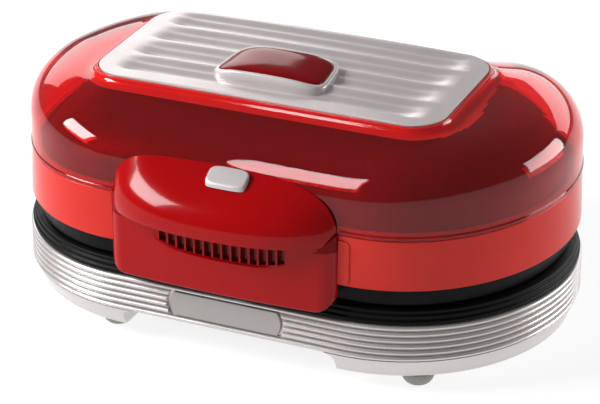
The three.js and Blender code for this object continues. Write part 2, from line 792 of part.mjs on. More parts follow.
function buildArm(centre) {
  const plate = [
    [ringRearAt(armFoot) + gap, hingeHeight],
    [ringRearAt(armFoot) + gap, armFoot],
    [ringRearAt(armTop) + gap, armTop],
    [armBackAt(armTop), armTop],
    [armBackAt(armFoot + arm.flareRise), armFoot + arm.flareRise],
    [hingeY + knuckleRadius * Math.SQRT1_2, hingeHeight + knuckleRadius * Math.SQRT1_2],
    [hingeY, hingeHeight],
  ];
  const span = [centre - knuckleHalfWidth, centre + knuckleHalfWidth];
  const holes = armScrewHeights.map((z) =>
    screwHole("y", [centre, z], [ringRearAt(z) - overrun, armBackAt(z) + overrun]),
  );
  return cut(
    join(sidePrism(plate, span), bar("x", knuckleRadius, span, [hingeY, hingeHeight])),
    pinBore([span[0] - overrun, span[1] + overrun]),
    ...holes,
  );
}

// The pin's head is at its outer end
function buildPin(side) {
  const headFace = side * (hingeHalfSpacing + earOuter + gap);
  const headEnd = headFace + side * pin.headHeight;
  const inner = side * (hingeHalfSpacing - earOuter - pin.endReach);
  return join(
    bar("x", pin.radius, inOrder(inner, headEnd), [hingeY, hingeHeight]),
    bar("x", pin.headRadius, inOrder(headFace, headEnd), [hingeY, hingeHeight]),
  );
}

const armScrewLength = arm.thickness + wall + sheetWall + gap;
for (const [place, side] of [
  ["left", -1],
  ["right", 1],
]) {
  const centre = side * hingeHalfSpacing;
  add("hinge_bracket_" + place, buildBracket(centre), "black");
  add("hinge_pin_" + place, buildPin(side), "steel");
  add("hinge_arm_" + place, buildArm(centre), "black");
  bracketScrewHeights.forEach((z, i) => {
    const made = screw("y", [centre, z], bracketBack + gap, 1, bracketBack - tubRearInside);
    add("bracket_screw_" + place + "_" + (i + 1), made, "steel");
  });
  armScrewHeights.forEach((z, i) => {
    const face = armBackAt(z + screwSize.headRadius) + gap;
    add("arm_screw_" + place + "_" + (i + 1), screw("y", [centre, z], face, 1, armScrewLength), "steel");
  });
}

// Lid collar: black band under the ring, with a ledge over the upper plate's edge
const collar = { inset: 4, chamfer: 0.8, chamferHeight: 1.2, ledgeInset: 15, ledgeThickness: 2 };
const upperFace = collarBottom + gap;
const upperTop = upperFace + cooking.thickness;
const upperCupTop = upperFace + cooking.upperDepth + cooking.cupWall;
const collarInnerInset = collar.inset + collar.chamfer + wall;
const collarLedge = upperTop + gap;
add(
  "lid_collar",
  ovalBand(
    [
      [collar.inset + collar.chamfer, collarBottom],
      [collar.inset, collarBottom + collar.chamferHeight],
      [collar.inset, ringBottom - gap],
      [collarInnerInset, ringBottom - gap],
      [collarInnerInset, collarLedge + collar.ledgeThickness],
      [collar.ledgeInset, collarLedge + collar.ledgeThickness],
      [collar.ledgeInset, collarLedge],
      [collarInnerInset, collarLedge],
      [collarInnerInset, collarBottom],
    ],
    ringPlan,
  ),
  "black",
);

const upperOutline = ovalOutline(collarInnerInset + gap, ringPlan);
add("upper_cooking_plate", buildCookingPlate(upperOutline, upperFace, -1, cooking.upperDepth), "castPlate");
const upperHeaterZ = upperCupTop + gap + heater.radius;
add("upper_heating_element", buildHeater(upperHeaterZ), "heaterGrey");
add("upper_reflector", buildReflector(upperHeaterZ + heater.radius + gap + sheetWall, -1), "tinPlate");

// Red ring: leans in slightly, with a flange under the liner and a lip inside the dome
const ring = { edge: 0.6, flangeInset: 8, lipInset: 2.9, lipThickness: 2, lipRise: 3 };
const flangeTop = ringBottom + wall;
const handleScrew = { endInset: 15.7, height: 10.3, bossRadius: 3.6, seatDepth: 3.1 };
const handleScrewHalfSpacing = handleHalfWidth - handleScrew.endInset;
const handleScrewZ = ringBottom + handleScrew.height;
const screwSeatY = ringFrontY + handleScrew.seatDepth;

function buildRing() {
  const low = (inset, z) => level(ovalOutline(inset, ringPlan), z);
  const high = (inset, z) => level(ovalOutline(inset, ringTopPlan), z);
  const lipInside = ring.lipInset + ring.lipThickness;
  const body = hoop([
    low(ring.edge, ringBottom),
    low(0, ringBottom + ring.edge),
    high(0, ringTop - ring.edge),
    high(ring.edge, ringTop),
    high(ring.lipInset, ringTop),
    high(ring.lipInset, ringTop + ring.lipRise),
    high(lipInside, ringTop + ring.lipRise),
    high(lipInside, ringTop - ring.lipRise),
    low(wall, flangeTop),
    low(ring.flangeInset, flangeTop),
    low(ring.flangeInset, ringBottom),
  ]);
  const armHoles = [-1, 1].flatMap((side) =>
    armScrewHeights.map((z) =>
      screwHole("y", [side * hingeHalfSpacing, z], [ringRearAt(z) - overrun, ringRearAt(z) + overrun]),
    ),
  );
  const handleHoles = [-1, 1].flatMap((side) => {
    const spot = [side * handleScrewHalfSpacing, handleScrewZ];
    return [
      screwHole("y", spot, [ringFrontY - overrun, ringFrontY + overrun]),
      bar("y", screwSize.headRadius + gap, [screwSeatY, screwSeatY + overrun], spot, smallFacets),
    ];
  });
  return cut(body, ...armHoles, ...handleHoles);
}
add("lid_ring", buildRing(), "ringRed");

// Dome: a wall over the ring, a tight shoulder along the straights, full round ends, a step for the plate
const dome = {
  seatGap: 0.4,
  lipHeight: 1.6,
  lipOut: 0.5,
  wallHeight: 14.6,
  wallEndRise: 2,
  wallBackDrop: 10,
  shoulderHeight: 24.1,
  shoulderBackDrop: 4,
  shoulderRun: 13,
  lean: 1,
  endStart: 50,
  stepFlare: 4.6,
  stepHeight: 4.5,
  stepLand: 2,
  stepEdge: 1,
};
const domeCurveSteps = 5;
const domeFoot = ringTop + dome.seatGap;
const easeShare = (share) => share * share * (3 - 2 * share);

// Rings of the dome from its foot to the step, moved in by an inset
function domeRings(inset, shape, footZ) {
  const base = ovalOutline(inset, ringTopPlan);
  const top = plateOutline(inset - shape.stepFlare);
  const rings = Array.from({ length: domeCurveSteps + 3 }, () => []);
  base.forEach(([x, y], i) => {
    const [tipX, tipY] = top[i];
    const tip = new THREE.Vector3(tipX, tipY, plateHeight(tipY) - shape.stepHeight - inset);
    const endRun = (Math.abs(x) - shape.endStart) / (bodyHalfWidth - shape.endStart);
    const endShare = easeShare(THREE.MathUtils.clamp(endRun, 0, 1));
    const backShare = Math.max(0, (y - ringTopPlan.centreY) / ringTopPlan.halfDepth);
    const lean = shape.lean * (1 - endShare) * Math.sign(y - ringTopPlan.centreY);
    const endRise = (shape.wallEndRise - shape.wallBackDrop * backShare) * endShare;
    const wallTop = ringTop + shape.wallHeight - inset + endRise;
    const shoulder = ringTop + shape.shoulderHeight - inset;
    const corner = shoulder + (tip.z - shoulder) * endShare - shape.shoulderBackDrop * backShare;
    const bend = new THREE.Vector3(x, y - lean, corner);
    const full = bend.distanceTo(tip);
    const run = Math.min(full, shape.shoulderRun + (full - shape.shoulderRun) * endShare);
    const finish = bend.clone().lerp(tip, run / full);
    const curve = new THREE.QuadraticBezierCurve3(new THREE.Vector3(x, y - lean, wallTop), bend, finish);
    rings[0].push([x, y, footZ]);
    curve.getPoints(domeCurveSteps).forEach((point, step) => rings[step + 1].push(point.toArray()));
    rings[domeCurveSteps + 2].push(tip.toArray());
  });
  return rings;
}

const topPlate = { edgeGap: 0.5, thickness: 1.8, crown: 1.2, shellDrop: 0.4 };
const plateSeat = topPlate.thickness + gap;

function buildShell() {
  const lip = (z) => level(ovalOutline(-dome.lipOut, ringTopPlan), z);
  const step = (inset, drop) => onPlate(plateOutline(inset), -drop);
  const lipTop = domeFoot + dome.lipHeight;
  return hoop([
    lip(domeFoot),
    lip(lipTop),
    level(ovalOutline(0, ringTopPlan), lipTop + dome.lipOut),
    ...domeRings(0, dome, domeFoot).slice(1),
    step(-dome.stepLand, dome.stepHeight - dome.stepEdge),
    step(-dome.stepLand, topPlate.shellDrop),
    step(-topPlate.edgeGap, topPlate.shellDrop),
    step(-topPlate.edgeGap, plateSeat),
    step(wall, plateSeat),
    step(wall, plateSeat + wall),
    ...domeRings(wall, dome, domeFoot).reverse(),
  ]);
}
add("lid_shell", buildShell(), "ruby");

// Liner: dark heat shield that follows the dome inside it, closed on top and open underneath
const liner = {
  ...dome,
  inset: 5.2,
  wallHeight: 4.6,
  wallEndRise: -6,
  wallBackDrop: 0,
  shoulderHeight: 24.6,
  shoulderRun: 16,
  stepFlare: 0,
  stepHeight: 8,
};
const linerFoot = flangeTop + gap;
function buildLiner() {
  const inside = domeRings(liner.inset + sheetWall, liner, linerFoot);
  const below = inside[0].map(([x, y]) => [x, y, linerFoot - overrun]);
  return cut(loft(domeRings(liner.inset, liner, linerFoot)), loft([below, ...inside]));
}
add("lid_liner", buildLiner(), "darkLiner");

// Top plate: crowned sheet with long shallow troughs that leave ridges between them
const trough = { count: 4, endInset: 20, firstY: 8, pitch: 19.5, width: 14, depth: 0.5 };
const troughShares = [
  [0, 0],
  [0.25, 0.8],
  [0.5, 1],
  [0.75, 0.6],
  [1, 0],
];
const badge = {
  centreX: -2,
  centreY: -24.5,
  halfWidth: 30,
  halfDepth: 17,
  power: 5,
  flareShare: 0.06,
  height: 2.6,
  bevel: 1.4,
  windowHalfWidth: 27.6,
  windowHalfDepth: 13.8,
  floor: 0.8,
  studSpacing: 18,
  studRadius: 1.6,
  lensRise: 2.4,
};
const crownAt = (x) => topPlate.crown * (1 - (x / plateHalfWidth) ** 2);
const plateStations = 10;
const badgeStuds = [-1, 1].map((side) => [badge.centreX + side * badge.studSpacing, badge.centreY]);

function plateSections(halfWidth, sectionAt) {
  return Array.from({ length: plateStations + 1 }, (_, i) => {
    const share = (2 * i) / plateStations - 1;
    return sectionAt(share * halfWidth, share);
  });
}

function buildTopPlate() {
  const front = plateFrontY - overrun;
  const back = plateBackY + overrun;
  const tall = loft([onPlate(plateOutline(0), -topPlate.thickness), onPlate(plateOutline(0), overrun)]);
  const crowned = sideLoft(
    plateSections(plateHalfWidth + overrun, (x) => [
      [x, front, plateHeight(front) - overrun],
      [x, back, plateHeight(back) - overrun],
      [x, back, plateHeight(back) + crownAt(x)],
      [x, front, plateHeight(front) + crownAt(x)],
    ]),
  );
  const troughs = Array.from({ length: trough.count }, (_, i) => {
    const y = plateFrontY + trough.firstY + i * trough.pitch;
    return sideLoft(
      plateSections(plateHalfWidth - trough.endInset, (x, share) => {
        const depth = trough.depth * (1 - share ** 4);
        const low = troughShares.map(([along, down]) => {
          const at = y + trough.width * along;
          return [x, at, plateHeight(at) + crownAt(x) - depth * down];
        });
        const lid = [y + trough.width, y].map((at) => [x, at, plateHeight(at) + overrun]);
        return [...low, ...lid];
      }),
    );
  });
  const studHoles = badgeStuds.map((spot) => {
    const z = plateHeight(badge.centreY);
    return bar("z", badge.studRadius + gap, [z - overrun, z + overrun], spot, smallFacets);
  });
  return cut(tall.intersect(crowned), ...troughs, ...studHoles);
}
add("top_plate", buildTopPlate(), "plateSilver");

// Badge: a pale bezel, wider at its front, round a dark red domed lens
function badgeOutline(halfWidth, halfDepth) {
  const plain = squareOval([0, 0], [halfWidth, halfDepth], badge.power);
  return plain.map(([x, y]) => [
    badge.centreX + x * (1 - (badge.flareShare * y) / badge.halfDepth),
    badge.centreY + y,
  ]);
}
const badgeFoot = topPlate.crown + gap;
function buildBezel() {
  const { halfWidth, halfDepth, height, bevel, windowHalfWidth, windowHalfDepth } = badge;
  const body = loft([
    onPlate(badgeOutline(halfWidth, halfDepth), badgeFoot),
    onPlate(badgeOutline(halfWidth, halfDepth), badgeFoot + height - bevel),
    onPlate(badgeOutline(halfWidth - bevel, halfDepth - bevel), badgeFoot + height),
  ]);
  const window = loft([
    onPlate(badgeOutline(windowHalfWidth, windowHalfDepth), badgeFoot + badge.floor),
    onPlate(badgeOutline(windowHalfWidth, windowHalfDepth), badgeFoot + height + overrun),
  ]);
  const studs = badgeStuds.map((spot) => {
    const z = plateHeight(badge.centreY);
    const span = [z - topPlate.thickness, z + badgeFoot + badge.floor * half];
    return bar("z", badge.studRadius, span, spot, smallFacets);
  });
  return join(cut(body, window), ...studs);
}
add("badge_bezel", buildBezel(), "padGrey");

const lensShares = [
  [1, 0],
  [1, 0.4],
  [0.93, 0.68],
  [0.78, 0.87],
  [0.5, 1],
];
function buildLens() {
  const foot = badgeFoot + badge.floor + gap;
  const rise = badge.height - badge.floor - gap + badge.lensRise;
  return loft(
    lensShares.map(([size, up]) =>
      onPlate(
        badgeOutline((badge.windowHalfWidth - gap) * size, (badge.windowHalfDepth - gap) * size),
        foot + rise * up,
      ),
    ),
  );
}
add("badge_lens", buildLens(), "lensRed");

// Latch plate: a strip that slides sideways on the skirt's guides, with a cam on top and a catch below
const latch = {
  thickness: 1.8,
  backGap: 2,
  width: 12,
  keeperGap: 2,
  footReach: 2.3,
  footHeight: 3,
  footGap: 0.4,
  camReach: 3,
  camFace: 5,
  camRise: 6.6,
  travel: 2.5,
};

// Handle skirt: a C-shaped wall in front of the ring, with bosses, a slotted recess and latch guides
const skirt = {
  splitDrop: 5.7,
  overlap: 3,
  reach: 6.7,
  bow: 2,
  cornerRadius: 7.7,
  bottomRadius: 8,
  openingInset: 10,
};
const recess = { centreX: 2.5, halfWidth: 34.5, depth: 2, height: 14.7, sag: 2.5 };
const slot = { count: 14, pitch: 4.8, width: 3.6 };
const guide = { radius: 1.5, lowRise: 14, spread: 16, backReach: 1.2 };
const skirtTop = ringTop - skirt.splitDrop;
const skirtBottom = rimTop - skirt.overlap;
const skirtFaceY = ringFrontY - skirt.reach;
const recessFloorY = skirtFaceY - skirt.bow + recess.depth;
const latchBack = ringFrontY - latch.backGap;
const latchFront = latchBack - latch.thickness;
const latchRight = -latch.keeperGap;
const latchLeft = latchRight - latch.width;
const guideX = latchLeft + (latch.width - guide.radius) * half;
const guideHeights = [skirtBottom + guide.lowRise, skirtBottom + guide.lowRise + guide.spread];
const insideFar = ringFrontY + overrun;

// Plan of the skirt: bowed front, round corners, sides running back past the ring's face
const frontShares = [-1, -0.75, -0.5, -0.25, 0, 0.25, 0.5, 0.75];
function skirtPlan(inset) {
  const halfWidth = handleHalfWidth - inset;
  const radius = skirt.cornerRadius - inset;
  const bowHalf = handleHalfWidth - skirt.cornerRadius;
  const front = frontShares.map((share) => [
    share * bowHalf,
    skirtFaceY - skirt.bow * (1 - share * share) + inset,
  ]);
  const corner = arc([bowHalf, skirtFaceY + skirt.cornerRadius], radius, -quarterTurn, 0, cornerSteps);
  const left = corner.slice(1).map(([x, y]) => [-x, y]);
  return [[-halfWidth, insideFar], ...left.reverse(), ...front, ...corner, [halfWidth, insideFar]];
}

// Front view of the skirt: flat top, round bottom corners
function skirtFront(inset, top) {
  const halfWidth = handleHalfWidth - inset;
  const bottom = skirtBottom + inset;
  const radius = skirt.bottomRadius - inset;
  const corner = arc([halfWidth - radius, bottom + radius], radius, -quarterTurn, 0, cornerSteps);
  const right = [...corner, [halfWidth, top]];
  return [...right, ...right.map(([x, z]) => [-x, z]).reverse()];
}

function skirtBlock(inset, top) {
  const tall = upright(skirtPlan(inset), skirtBottom - overrun, top + overrun);
  return tall.intersect(frontPrism(skirtFront(inset, top), [skirtFaceY - overrun, insideFar + overrun]));
}

// The recess has an upward-curving lower edge and runs out under the cap
const recessLowAt = (x) =>
  skirtTop - recess.height + recess.sag * ((x - recess.centreX) / recess.halfWidth) ** 2;
const sagShares = [-1, -0.75, -0.5, -0.25, 0, 0.25, 0.5, 0.75, 1];
function recessSpace() {
  const low = sagShares.map((share) => {
    const x = recess.centreX + share * recess.halfWidth;
    return [x, recessLowAt(x)];
  });
  const right = recess.centreX + recess.halfWidth;
  const left = recess.centreX - recess.halfWidth;
  const corners = [...low, [right, skirtTop + overrun], [left, skirtTop + overrun]];
  return frontPrism(corners, [skirtFaceY - overrun, recessFloorY]);
}

function buildSkirt() {
  const backY = ringFrontY - gap;
  const padBack = latchFront - gap;
  const padHalf = recess.halfWidth + wall;
  const hollow = cut(
    skirtBlock(wall, skirtTop + overrun),
    block(
      [recess.centreX - padHalf, recess.centreX + padHalf],
      [skirtFaceY - overrun, padBack],
      [skirtTop - recess.height - wall, skirtTop + overrun],
    ),
  );
  const openX = handleHalfWidth - skirt.openingInset;
  const bottomOpening = block(
    [-openX, openX],
    [skirtFaceY + wall, insideFar],
    [skirtBottom - overrun, skirtBottom + wall + gap],
  );
  const behind = block(
    [-handleHalfWidth - overrun, handleHalfWidth + overrun],
    [backY, insideFar + overrun],
    [skirtBottom - overrun, skirtTop + overrun],
  );
  const slots = Array.from({ length: slot.count }, (_, i) => {
    const x = recess.centreX + (i - (slot.count - 1) * half) * slot.pitch;
    return block(
      [x - slot.width * half, x + slot.width * half],
      [skirtFaceY - overrun, padBack + gap],
      [recessLowAt(x) + sheetWall, skirtTop - wall],
    );
  });
  const bossPlaces = [-1, 1].map((side) => [side * handleScrewHalfSpacing, handleScrewZ]);
  const bosses = bossPlaces.map((spot) =>
    bar("y", handleScrew.bossRadius, [skirtFaceY + wall * half, backY], spot),
  );
  const bossHoles = bossPlaces.map((spot) => screwHole("y", spot, [skirtFaceY + wall, backY + overrun]));
  const guides = guideHeights.map((z) =>
    bar("y", guide.radius, [skirtFaceY, ringFrontY - guide.backReach], [guideX, z], smallFacets),
  );
  const shell = cut(skirtBlock(0, skirtTop), hollow, bottomOpening, behind, recessSpace(), ...slots);
  const topSlot = guideHeights.length - 1;
  const kept = guides.map((made, i) => (i === topSlot ? cut(made, ...slots) : made));
  return cut(join(shell, ...bosses, ...kept), ...bossHoles);
}
add("handle_skirt", buildSkirt(), "handleRed");

const handleScrewLength = screwSeatY + gap - skirtFaceY - wall - gap;
[-1, 1].forEach((side, i) => {
  const spot = [side * handleScrewHalfSpacing, handleScrewZ];
  add("handle_screw_" + (i + 1), screw("y", spot, screwSeatY + gap, 1, handleScrewLength), "steel");
});

// Handle cap: D-shaped in plan, swelling from its front rim up and back to the dome's shoulder
const cap = {
  sideInset: 1.2,
  rootDepth: 0.3,
  backDepth: 3.8,
  backCurve: 4,
  topDrop: 1.1,
  endDrop: 11.5,
  envelopeGap: 0.4,
  tailRun: 3,
  tailDrop: 8,
  tailDepth: 10,
};
const capShape = { planPower: 2.8, planTaper: 0.8, sidePower: 2.7, stationCount: 18, roofSteps: 8 };
const capEndShare = 0.985;
const cavityEndShare = 0.93;
const capBottom = skirtTop + gap;
const capTop = ringTop + dome.shoulderHeight - cap.topDrop;
const capHalfWidth = handleHalfWidth - cap.sideInset;

// One section across the cap; share runs from -1 at the left end to 1 at the right end
function capSection(share, inset) {
  const end = Math.abs(share);
  const rootY = ringFrontY + cap.rootDepth;
  const reach = (rootY - capFrontY) * (1 - end ** capShape.planPower) ** capShape.planTaper;
  const front = rootY - reach + inset;
  const back = ringFrontY + cap.backDepth - cap.backCurve * share ** 2;
  const top = capTop - cap.endDrop * end ** 3 - inset;
  const bottom = capBottom + inset;
  const x = share * (capHalfWidth - inset);
  const roof = Array.from({ length: capShape.roofSteps + 1 }, (_, i) => {
    const turn = (quarterTurn * i) / capShape.roofSteps;
    const along = Math.cos(turn) ** (2 / capShape.sidePower);
    const up = Math.sin(turn) ** (2 / capShape.sidePower);
    return [x, back + (front - back) * along, bottom + (top - bottom) * up];
  });
  const tailTop = [x, back + cap.tailRun, top - cap.tailDrop];
  return [[x, ringFrontY + cap.tailDepth, bottom], tailTop, ...roof.reverse()];
}

function capBlock(endShare, inset) {
  const count = capShape.stationCount;
  const shares = Array.from({ length: count + 1 }, (_, i) => Math.sin(quarterTurn * ((2 * i) / count - 1)));
  return sideLoft(shares.map((share) => capSection(share * endShare, inset)));
}

// The ring and the dome, grown by the clearance that the handle keeps to them
function lidEnvelope() {
  const grown = -cap.envelopeGap;
  const lipTop = domeFoot + dome.lipHeight + dome.lipOut;
  return join(
    loft([
      level(ovalOutline(grown, ringPlan), ringBottom + grown),
      level(ovalOutline(grown, ringTopPlan), ringTop),
    ]),
    upright(ovalOutline(grown - dome.lipOut, ringTopPlan), ringTop - dome.lipHeight, lipTop - grown),
    loft(domeRings(grown, dome, domeFoot)),
  );
}

const button = {
  centreX: 4.3,
  frontDepth: 3.6,
  halfWidth: 9.5,
  halfDepth: 5,
  power: 4,
  proud: 1.7,
  crown: 0.6,
  edgeGap: 0.35,
  flangeDrop: 4.4,
  flangeThickness: 2,
  flangeLeft: 12,
  flangeRight: 13,
  flangeFront: 3.6,
  flangeBack: 4.2,
  stemGap: 0.5,
  stemWidth: 6.5,
  stemThickness: 2.6,
  camGap: 0.42,
  camOverlap: 2.5,
};
const buttonY = ringFrontY - button.frontDepth;
const buttonTop = capTop + button.proud;
const buttonFlangeTop = capTop - button.flangeDrop;
const buttonFlangeBottom = buttonFlangeTop - button.flangeThickness;
const padOutline = (grown) =>
  squareOval([button.centreX, buttonY], [button.halfWidth + grown, button.halfDepth + grown], button.power);
const capFloor = capBottom + wall;

function buildCap() {
  const floorOpening = block(
    [latchLeft - latch.travel - button.stemGap, latchRight + latch.camReach + button.stemGap],
    [latchFront - button.stemGap, ringFrontY],
    [capBottom - overrun, capFloor + gap],
  );
  return cut(
    capBlock(capEndShare, 0),
    capBlock(cavityEndShare, wall),
    lidEnvelope(),
    floorOpening,
    upright(padOutline(button.edgeGap), buttonFlangeTop, capTop + overrun),
  );
}
add("handle_cap", buildCap(), "handleRed");

// Release button: a pad, a flange under the cap's roof and a stem with a 45 degree face
const camTop = capFloor + latch.camRise + latch.camReach;
const stemLeft = latchRight + button.stemGap;
const stemRight = stemLeft + button.stemWidth;
const stemSum = latchRight + camTop + button.camGap;
const stemBottom = camTop - latch.camReach - button.camOverlap;
function buildButton() {
  const { crown } = button;
  const pad = loft([
    level(padOutline(0), buttonFlangeBottom),
    level(padOutline(0), buttonTop - crown),
    level(padOutline(-crown), buttonTop - crown * (1 - Math.SQRT1_2)),
    level(padOutline(-crown - crown), buttonTop),
  ]);
  const flange = block(
    [button.centreX - button.flangeLeft, button.centreX + button.flangeRight],
    [buttonY - button.flangeFront, buttonY + button.flangeBack],
    [buttonFlangeBottom, buttonFlangeTop],
  );
  const middle = (latchFront + latchBack) * half;
  const stem = frontPrism(
    [
      [stemLeft, buttonFlangeTop],
      [stemLeft, stemSum - stemLeft],
      [stemSum - stemBottom, stemBottom],
      [stemRight, stemBottom],
      [stemRight, buttonFlangeTop],
    ],
    [middle - button.stemThickness * half, middle + button.stemThickness * half],
  );
  return join(pad, flange, stem);
}
add("release_button", buildButton(), "padGrey");

// Button spring: a helix between the cap's floor and the button's flange
const spring = { radius: 2.6, wire: 0.45, x: 9.5, turns: 5, stepsPerTurn: 8, wireSides: 3 };
function buildSpring() {
  const low = capFloor + gap + spring.wire;
  const high = buttonFlangeBottom - gap - spring.wire;
  const radius = spring.radius - spring.wire;
  const steps = spring.turns * spring.stepsPerTurn;
  const points = Array.from({ length: steps + 1 }, (_, i) => {
    const turn = (2 * Math.PI * i) / spring.stepsPerTurn;
    const [x, y] = [spring.x + radius * Math.cos(turn), buttonY + radius * Math.sin(turn)];
    return new THREE.Vector3(x, y, low + ((high - low) * i) / steps);
  });
  return solid(
    new THREE.ExtrudeGeometry(new THREE.Shape().absarc(0, 0, spring.wire, 0, 2 * Math.PI), {
      extrudePath: new THREE.CatmullRomCurve3(points),
      steps,
      curveSegments: spring.wireSides,
      bevelEnabled: false,
    }),
  );
}
add("button_spring", buildSpring(), "steel");

function buildLatch() {
  const footTop = keeperOpening - latch.footGap;
  const footBottom = footTop - latch.footHeight;
  const camRight = latchRight + latch.camReach;
  const camShoulder = camTop - latch.camReach;
  const plate = frontPrism(
    [
      [latchLeft, footBottom],
      [latch.footReach, footBottom],
      [latch.footReach, footTop],
      [latchRight, footTop],
      [latchRight, camShoulder - latch.camFace],
      [camRight, camShoulder - latch.camFace],
      [camRight, camShoulder],
      [latchRight, camTop],
      [latchLeft, camTop],
    ],
    [latchFront, latchBack],
  );
  const reach = guide.radius + gap;
  const slots = guideHeights.map((z) =>
    block(
      [guideX - reach, guideX + reach + latch.travel],
      [latchFront - overrun, latchBack + overrun],
      [z - reach, z + reach],
    ),
  );
  return cut(plate, ...slots);
}
add("latch_plate", buildLatch(), "steel");

export default hamburgerMaker;
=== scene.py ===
"""Hamburger maker: fine surfaces, finishes, lights and camera round the packed frame.

Sizes are in metres, in the frame's own axes: +Z up, and the front towards -Y.
"""

import json
import math
from collections import namedtuple

import bmesh
import bpy
from bpy.props import FloatProperty, FloatVectorProperty, IntProperty, PointerProperty
from mathutils import Color, Matrix, Vector


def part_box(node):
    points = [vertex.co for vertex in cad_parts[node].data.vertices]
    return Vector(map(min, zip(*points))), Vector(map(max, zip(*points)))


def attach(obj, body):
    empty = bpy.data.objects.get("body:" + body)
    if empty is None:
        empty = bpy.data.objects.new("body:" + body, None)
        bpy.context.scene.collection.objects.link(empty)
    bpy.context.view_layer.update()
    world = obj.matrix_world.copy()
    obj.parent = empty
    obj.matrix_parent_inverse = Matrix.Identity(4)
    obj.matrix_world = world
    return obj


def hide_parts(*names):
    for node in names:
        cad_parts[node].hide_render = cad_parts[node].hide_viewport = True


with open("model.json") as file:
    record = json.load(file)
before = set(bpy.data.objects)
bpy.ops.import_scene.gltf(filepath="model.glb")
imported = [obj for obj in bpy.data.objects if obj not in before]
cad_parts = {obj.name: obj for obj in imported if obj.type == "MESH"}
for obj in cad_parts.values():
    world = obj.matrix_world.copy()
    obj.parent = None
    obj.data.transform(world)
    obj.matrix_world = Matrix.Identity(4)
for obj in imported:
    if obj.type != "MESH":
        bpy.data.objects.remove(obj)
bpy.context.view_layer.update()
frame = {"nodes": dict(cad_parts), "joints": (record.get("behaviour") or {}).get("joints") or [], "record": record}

bl_info = {
    "name": "Hamburger maker",
    "version": (1, 0, 0),
    "blender": (4, 5, 0),
    "location": "3D View > Sidebar > Grill",
    "description": "Builds the visible pieces of a hamburger maker round its packed frame",
    "category": "Object",
}

SLOT_OF = {row["node"]: row["material_slot"] for row in frame["record"]["subparts"]}

# Places that the frame gives
TUB_LOW, TUB_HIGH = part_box("base_tub")
RIM_LOW, RIM_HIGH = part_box("base_rim")
COLLAR_LOW, COLLAR_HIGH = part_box("lid_collar")
RING_LOW, RING_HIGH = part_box("lid_ring")
SHELL_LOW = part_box("lid_shell")[0]
LINER_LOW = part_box("lid_liner")[0]
PLATE_LOW, PLATE_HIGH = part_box("top_plate")
SKIRT_LOW, SKIRT_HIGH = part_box("handle_skirt")
CAP_LOW, CAP_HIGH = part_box("handle_cap")
BUTTON_LOW, BUTTON_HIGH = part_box("release_button")
BEZEL_LOW, BEZEL_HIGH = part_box("badge_bezel")
PLAQUE_LOW, PLAQUE_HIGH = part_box("front_plaque")
COVER_LOW, COVER_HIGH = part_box("bottom_cover")
MIDDLE_Y = (TUB_LOW.y + TUB_HIGH.y) / 2

Plan = namedtuple("Plan", "half_width half_depth end_length centre_y")
HALF_TURN = math.pi
QUARTER_TURN = math.pi / 2
FULL_TURN = 2 * math.pi

# Counts of steps round and along the pieces
END_STEPS = 56
FLANK_STEPS = 24
ROUND_STEPS = 64
WELL_STEPS = 128
FILLET_STEPS = 8
RIB_STEPS = 10
CURVE_STEPS = 34
WALL_STEPS = 6
PLATE_COLUMNS = 48
PLATE_ROWS = 150

EDGE_STEPS = 6
BAND_COLUMNS = 6
LOBE_STEPS = 14
END_ROWS = 12
FOOT_STEPS = 14
BADGE_STEPS = 96
LIP_STEPS = 4
LENS_STEPS = 12
SKIRT_COLUMNS = 60
CORNER_STEPS = 14
RECESS_STEPS = 4
SEAM_STEPS = 3
FACE_ROWS = 8
SLOT_ROWS = 6
BACK_ROWS = 4
ROOF_STEPS = 30
CAP_ROWS = 14
CAP_SECTIONS = 72
LID_ROWS = 120
SCREW_STEPS = 40
EAR_STEPS = 24
KNUCKLE_STEPS = 48
GLAND_STEPS = 5

# Degrees at which an edge counts as sharp
SHARP_ANGLE = 35.0
NEVER_SHARP = 180.0

# Rounding of the mouldings' edges
FINE_EDGE = 0.0003
SMALL_EDGE = 0.0004
PLAIN_EDGE = 0.0005
BROAD_EDGE = 0.0006

# Distance between two columns or two rows of points that make a sharp step
COLUMN_HAIR = 0.0001
RIB_HAIR = 0.00004
SLOT_HAIR = 0.00006

# How near to an edge a face counts as lying on it, and how deep in a slot the painted shade starts
NEAR = 0.0001
SLOT_SHADE = 0.0003

# Fullness of curves, as powers: the lobes' draft, a foot's side, the troughs' ends, the badge
LOBE_POWER = 1.15
FOOT_POWER = 0.9
TROUGH_POWER = 14
ARCH_POWER = 3
LENS_POWER = 0.6

# Shares: a foot's flat sole in its radius, a well's bead in its width, a bar's bevel in half its
# width, a bar's top in its foot, the badge's widest place in its half depth, the lens's edge in its
# height and its reach in a quarter turn, the cap's reach in its half width
FOOT_TREAD = 0.5
BEAD_RISE = 0.15
BAR_BEVEL = 0.4
BAR_TOP_WIDTH = 0.6
BAR_TOP_LENGTH = 0.985
FLARE_REACH = 0.85
LENS_EDGE = 0.2
LENS_REACH = 0.96
CAP_REACH = 0.9995

# The release button's crown, and the share of the button that its middle takes
PAD_CROWN = 0.0002
PAD_MIDDLE = 0.5

# Chamfer under the cap's front rim, as (back, up) in lips
CAP_CHAMFER = ((2.5, 0.0), (1.0, 0.3))


def length(name, default, description):
    """A size in metres that a user can change."""
    return FloatProperty(
        name=name, description=description, default=default, precision=5, unit="LENGTH"
    )


def ratio(name, default, description):
    """A plain number that a user can change."""
    return FloatProperty(name=name, description=description, default=default, precision=3)


def count(name, default, description):
    """A number of copies that a user can change."""
    return IntProperty(name=name, description=description, default=default, min=1)


def paint(name, default, description):
    """A colour that a user can change, in display values."""
    return FloatVectorProperty(
        name=name, description=description, default=default, size=3, min=0, max=1,
        subtype="COLOR_GAMMA",
    )


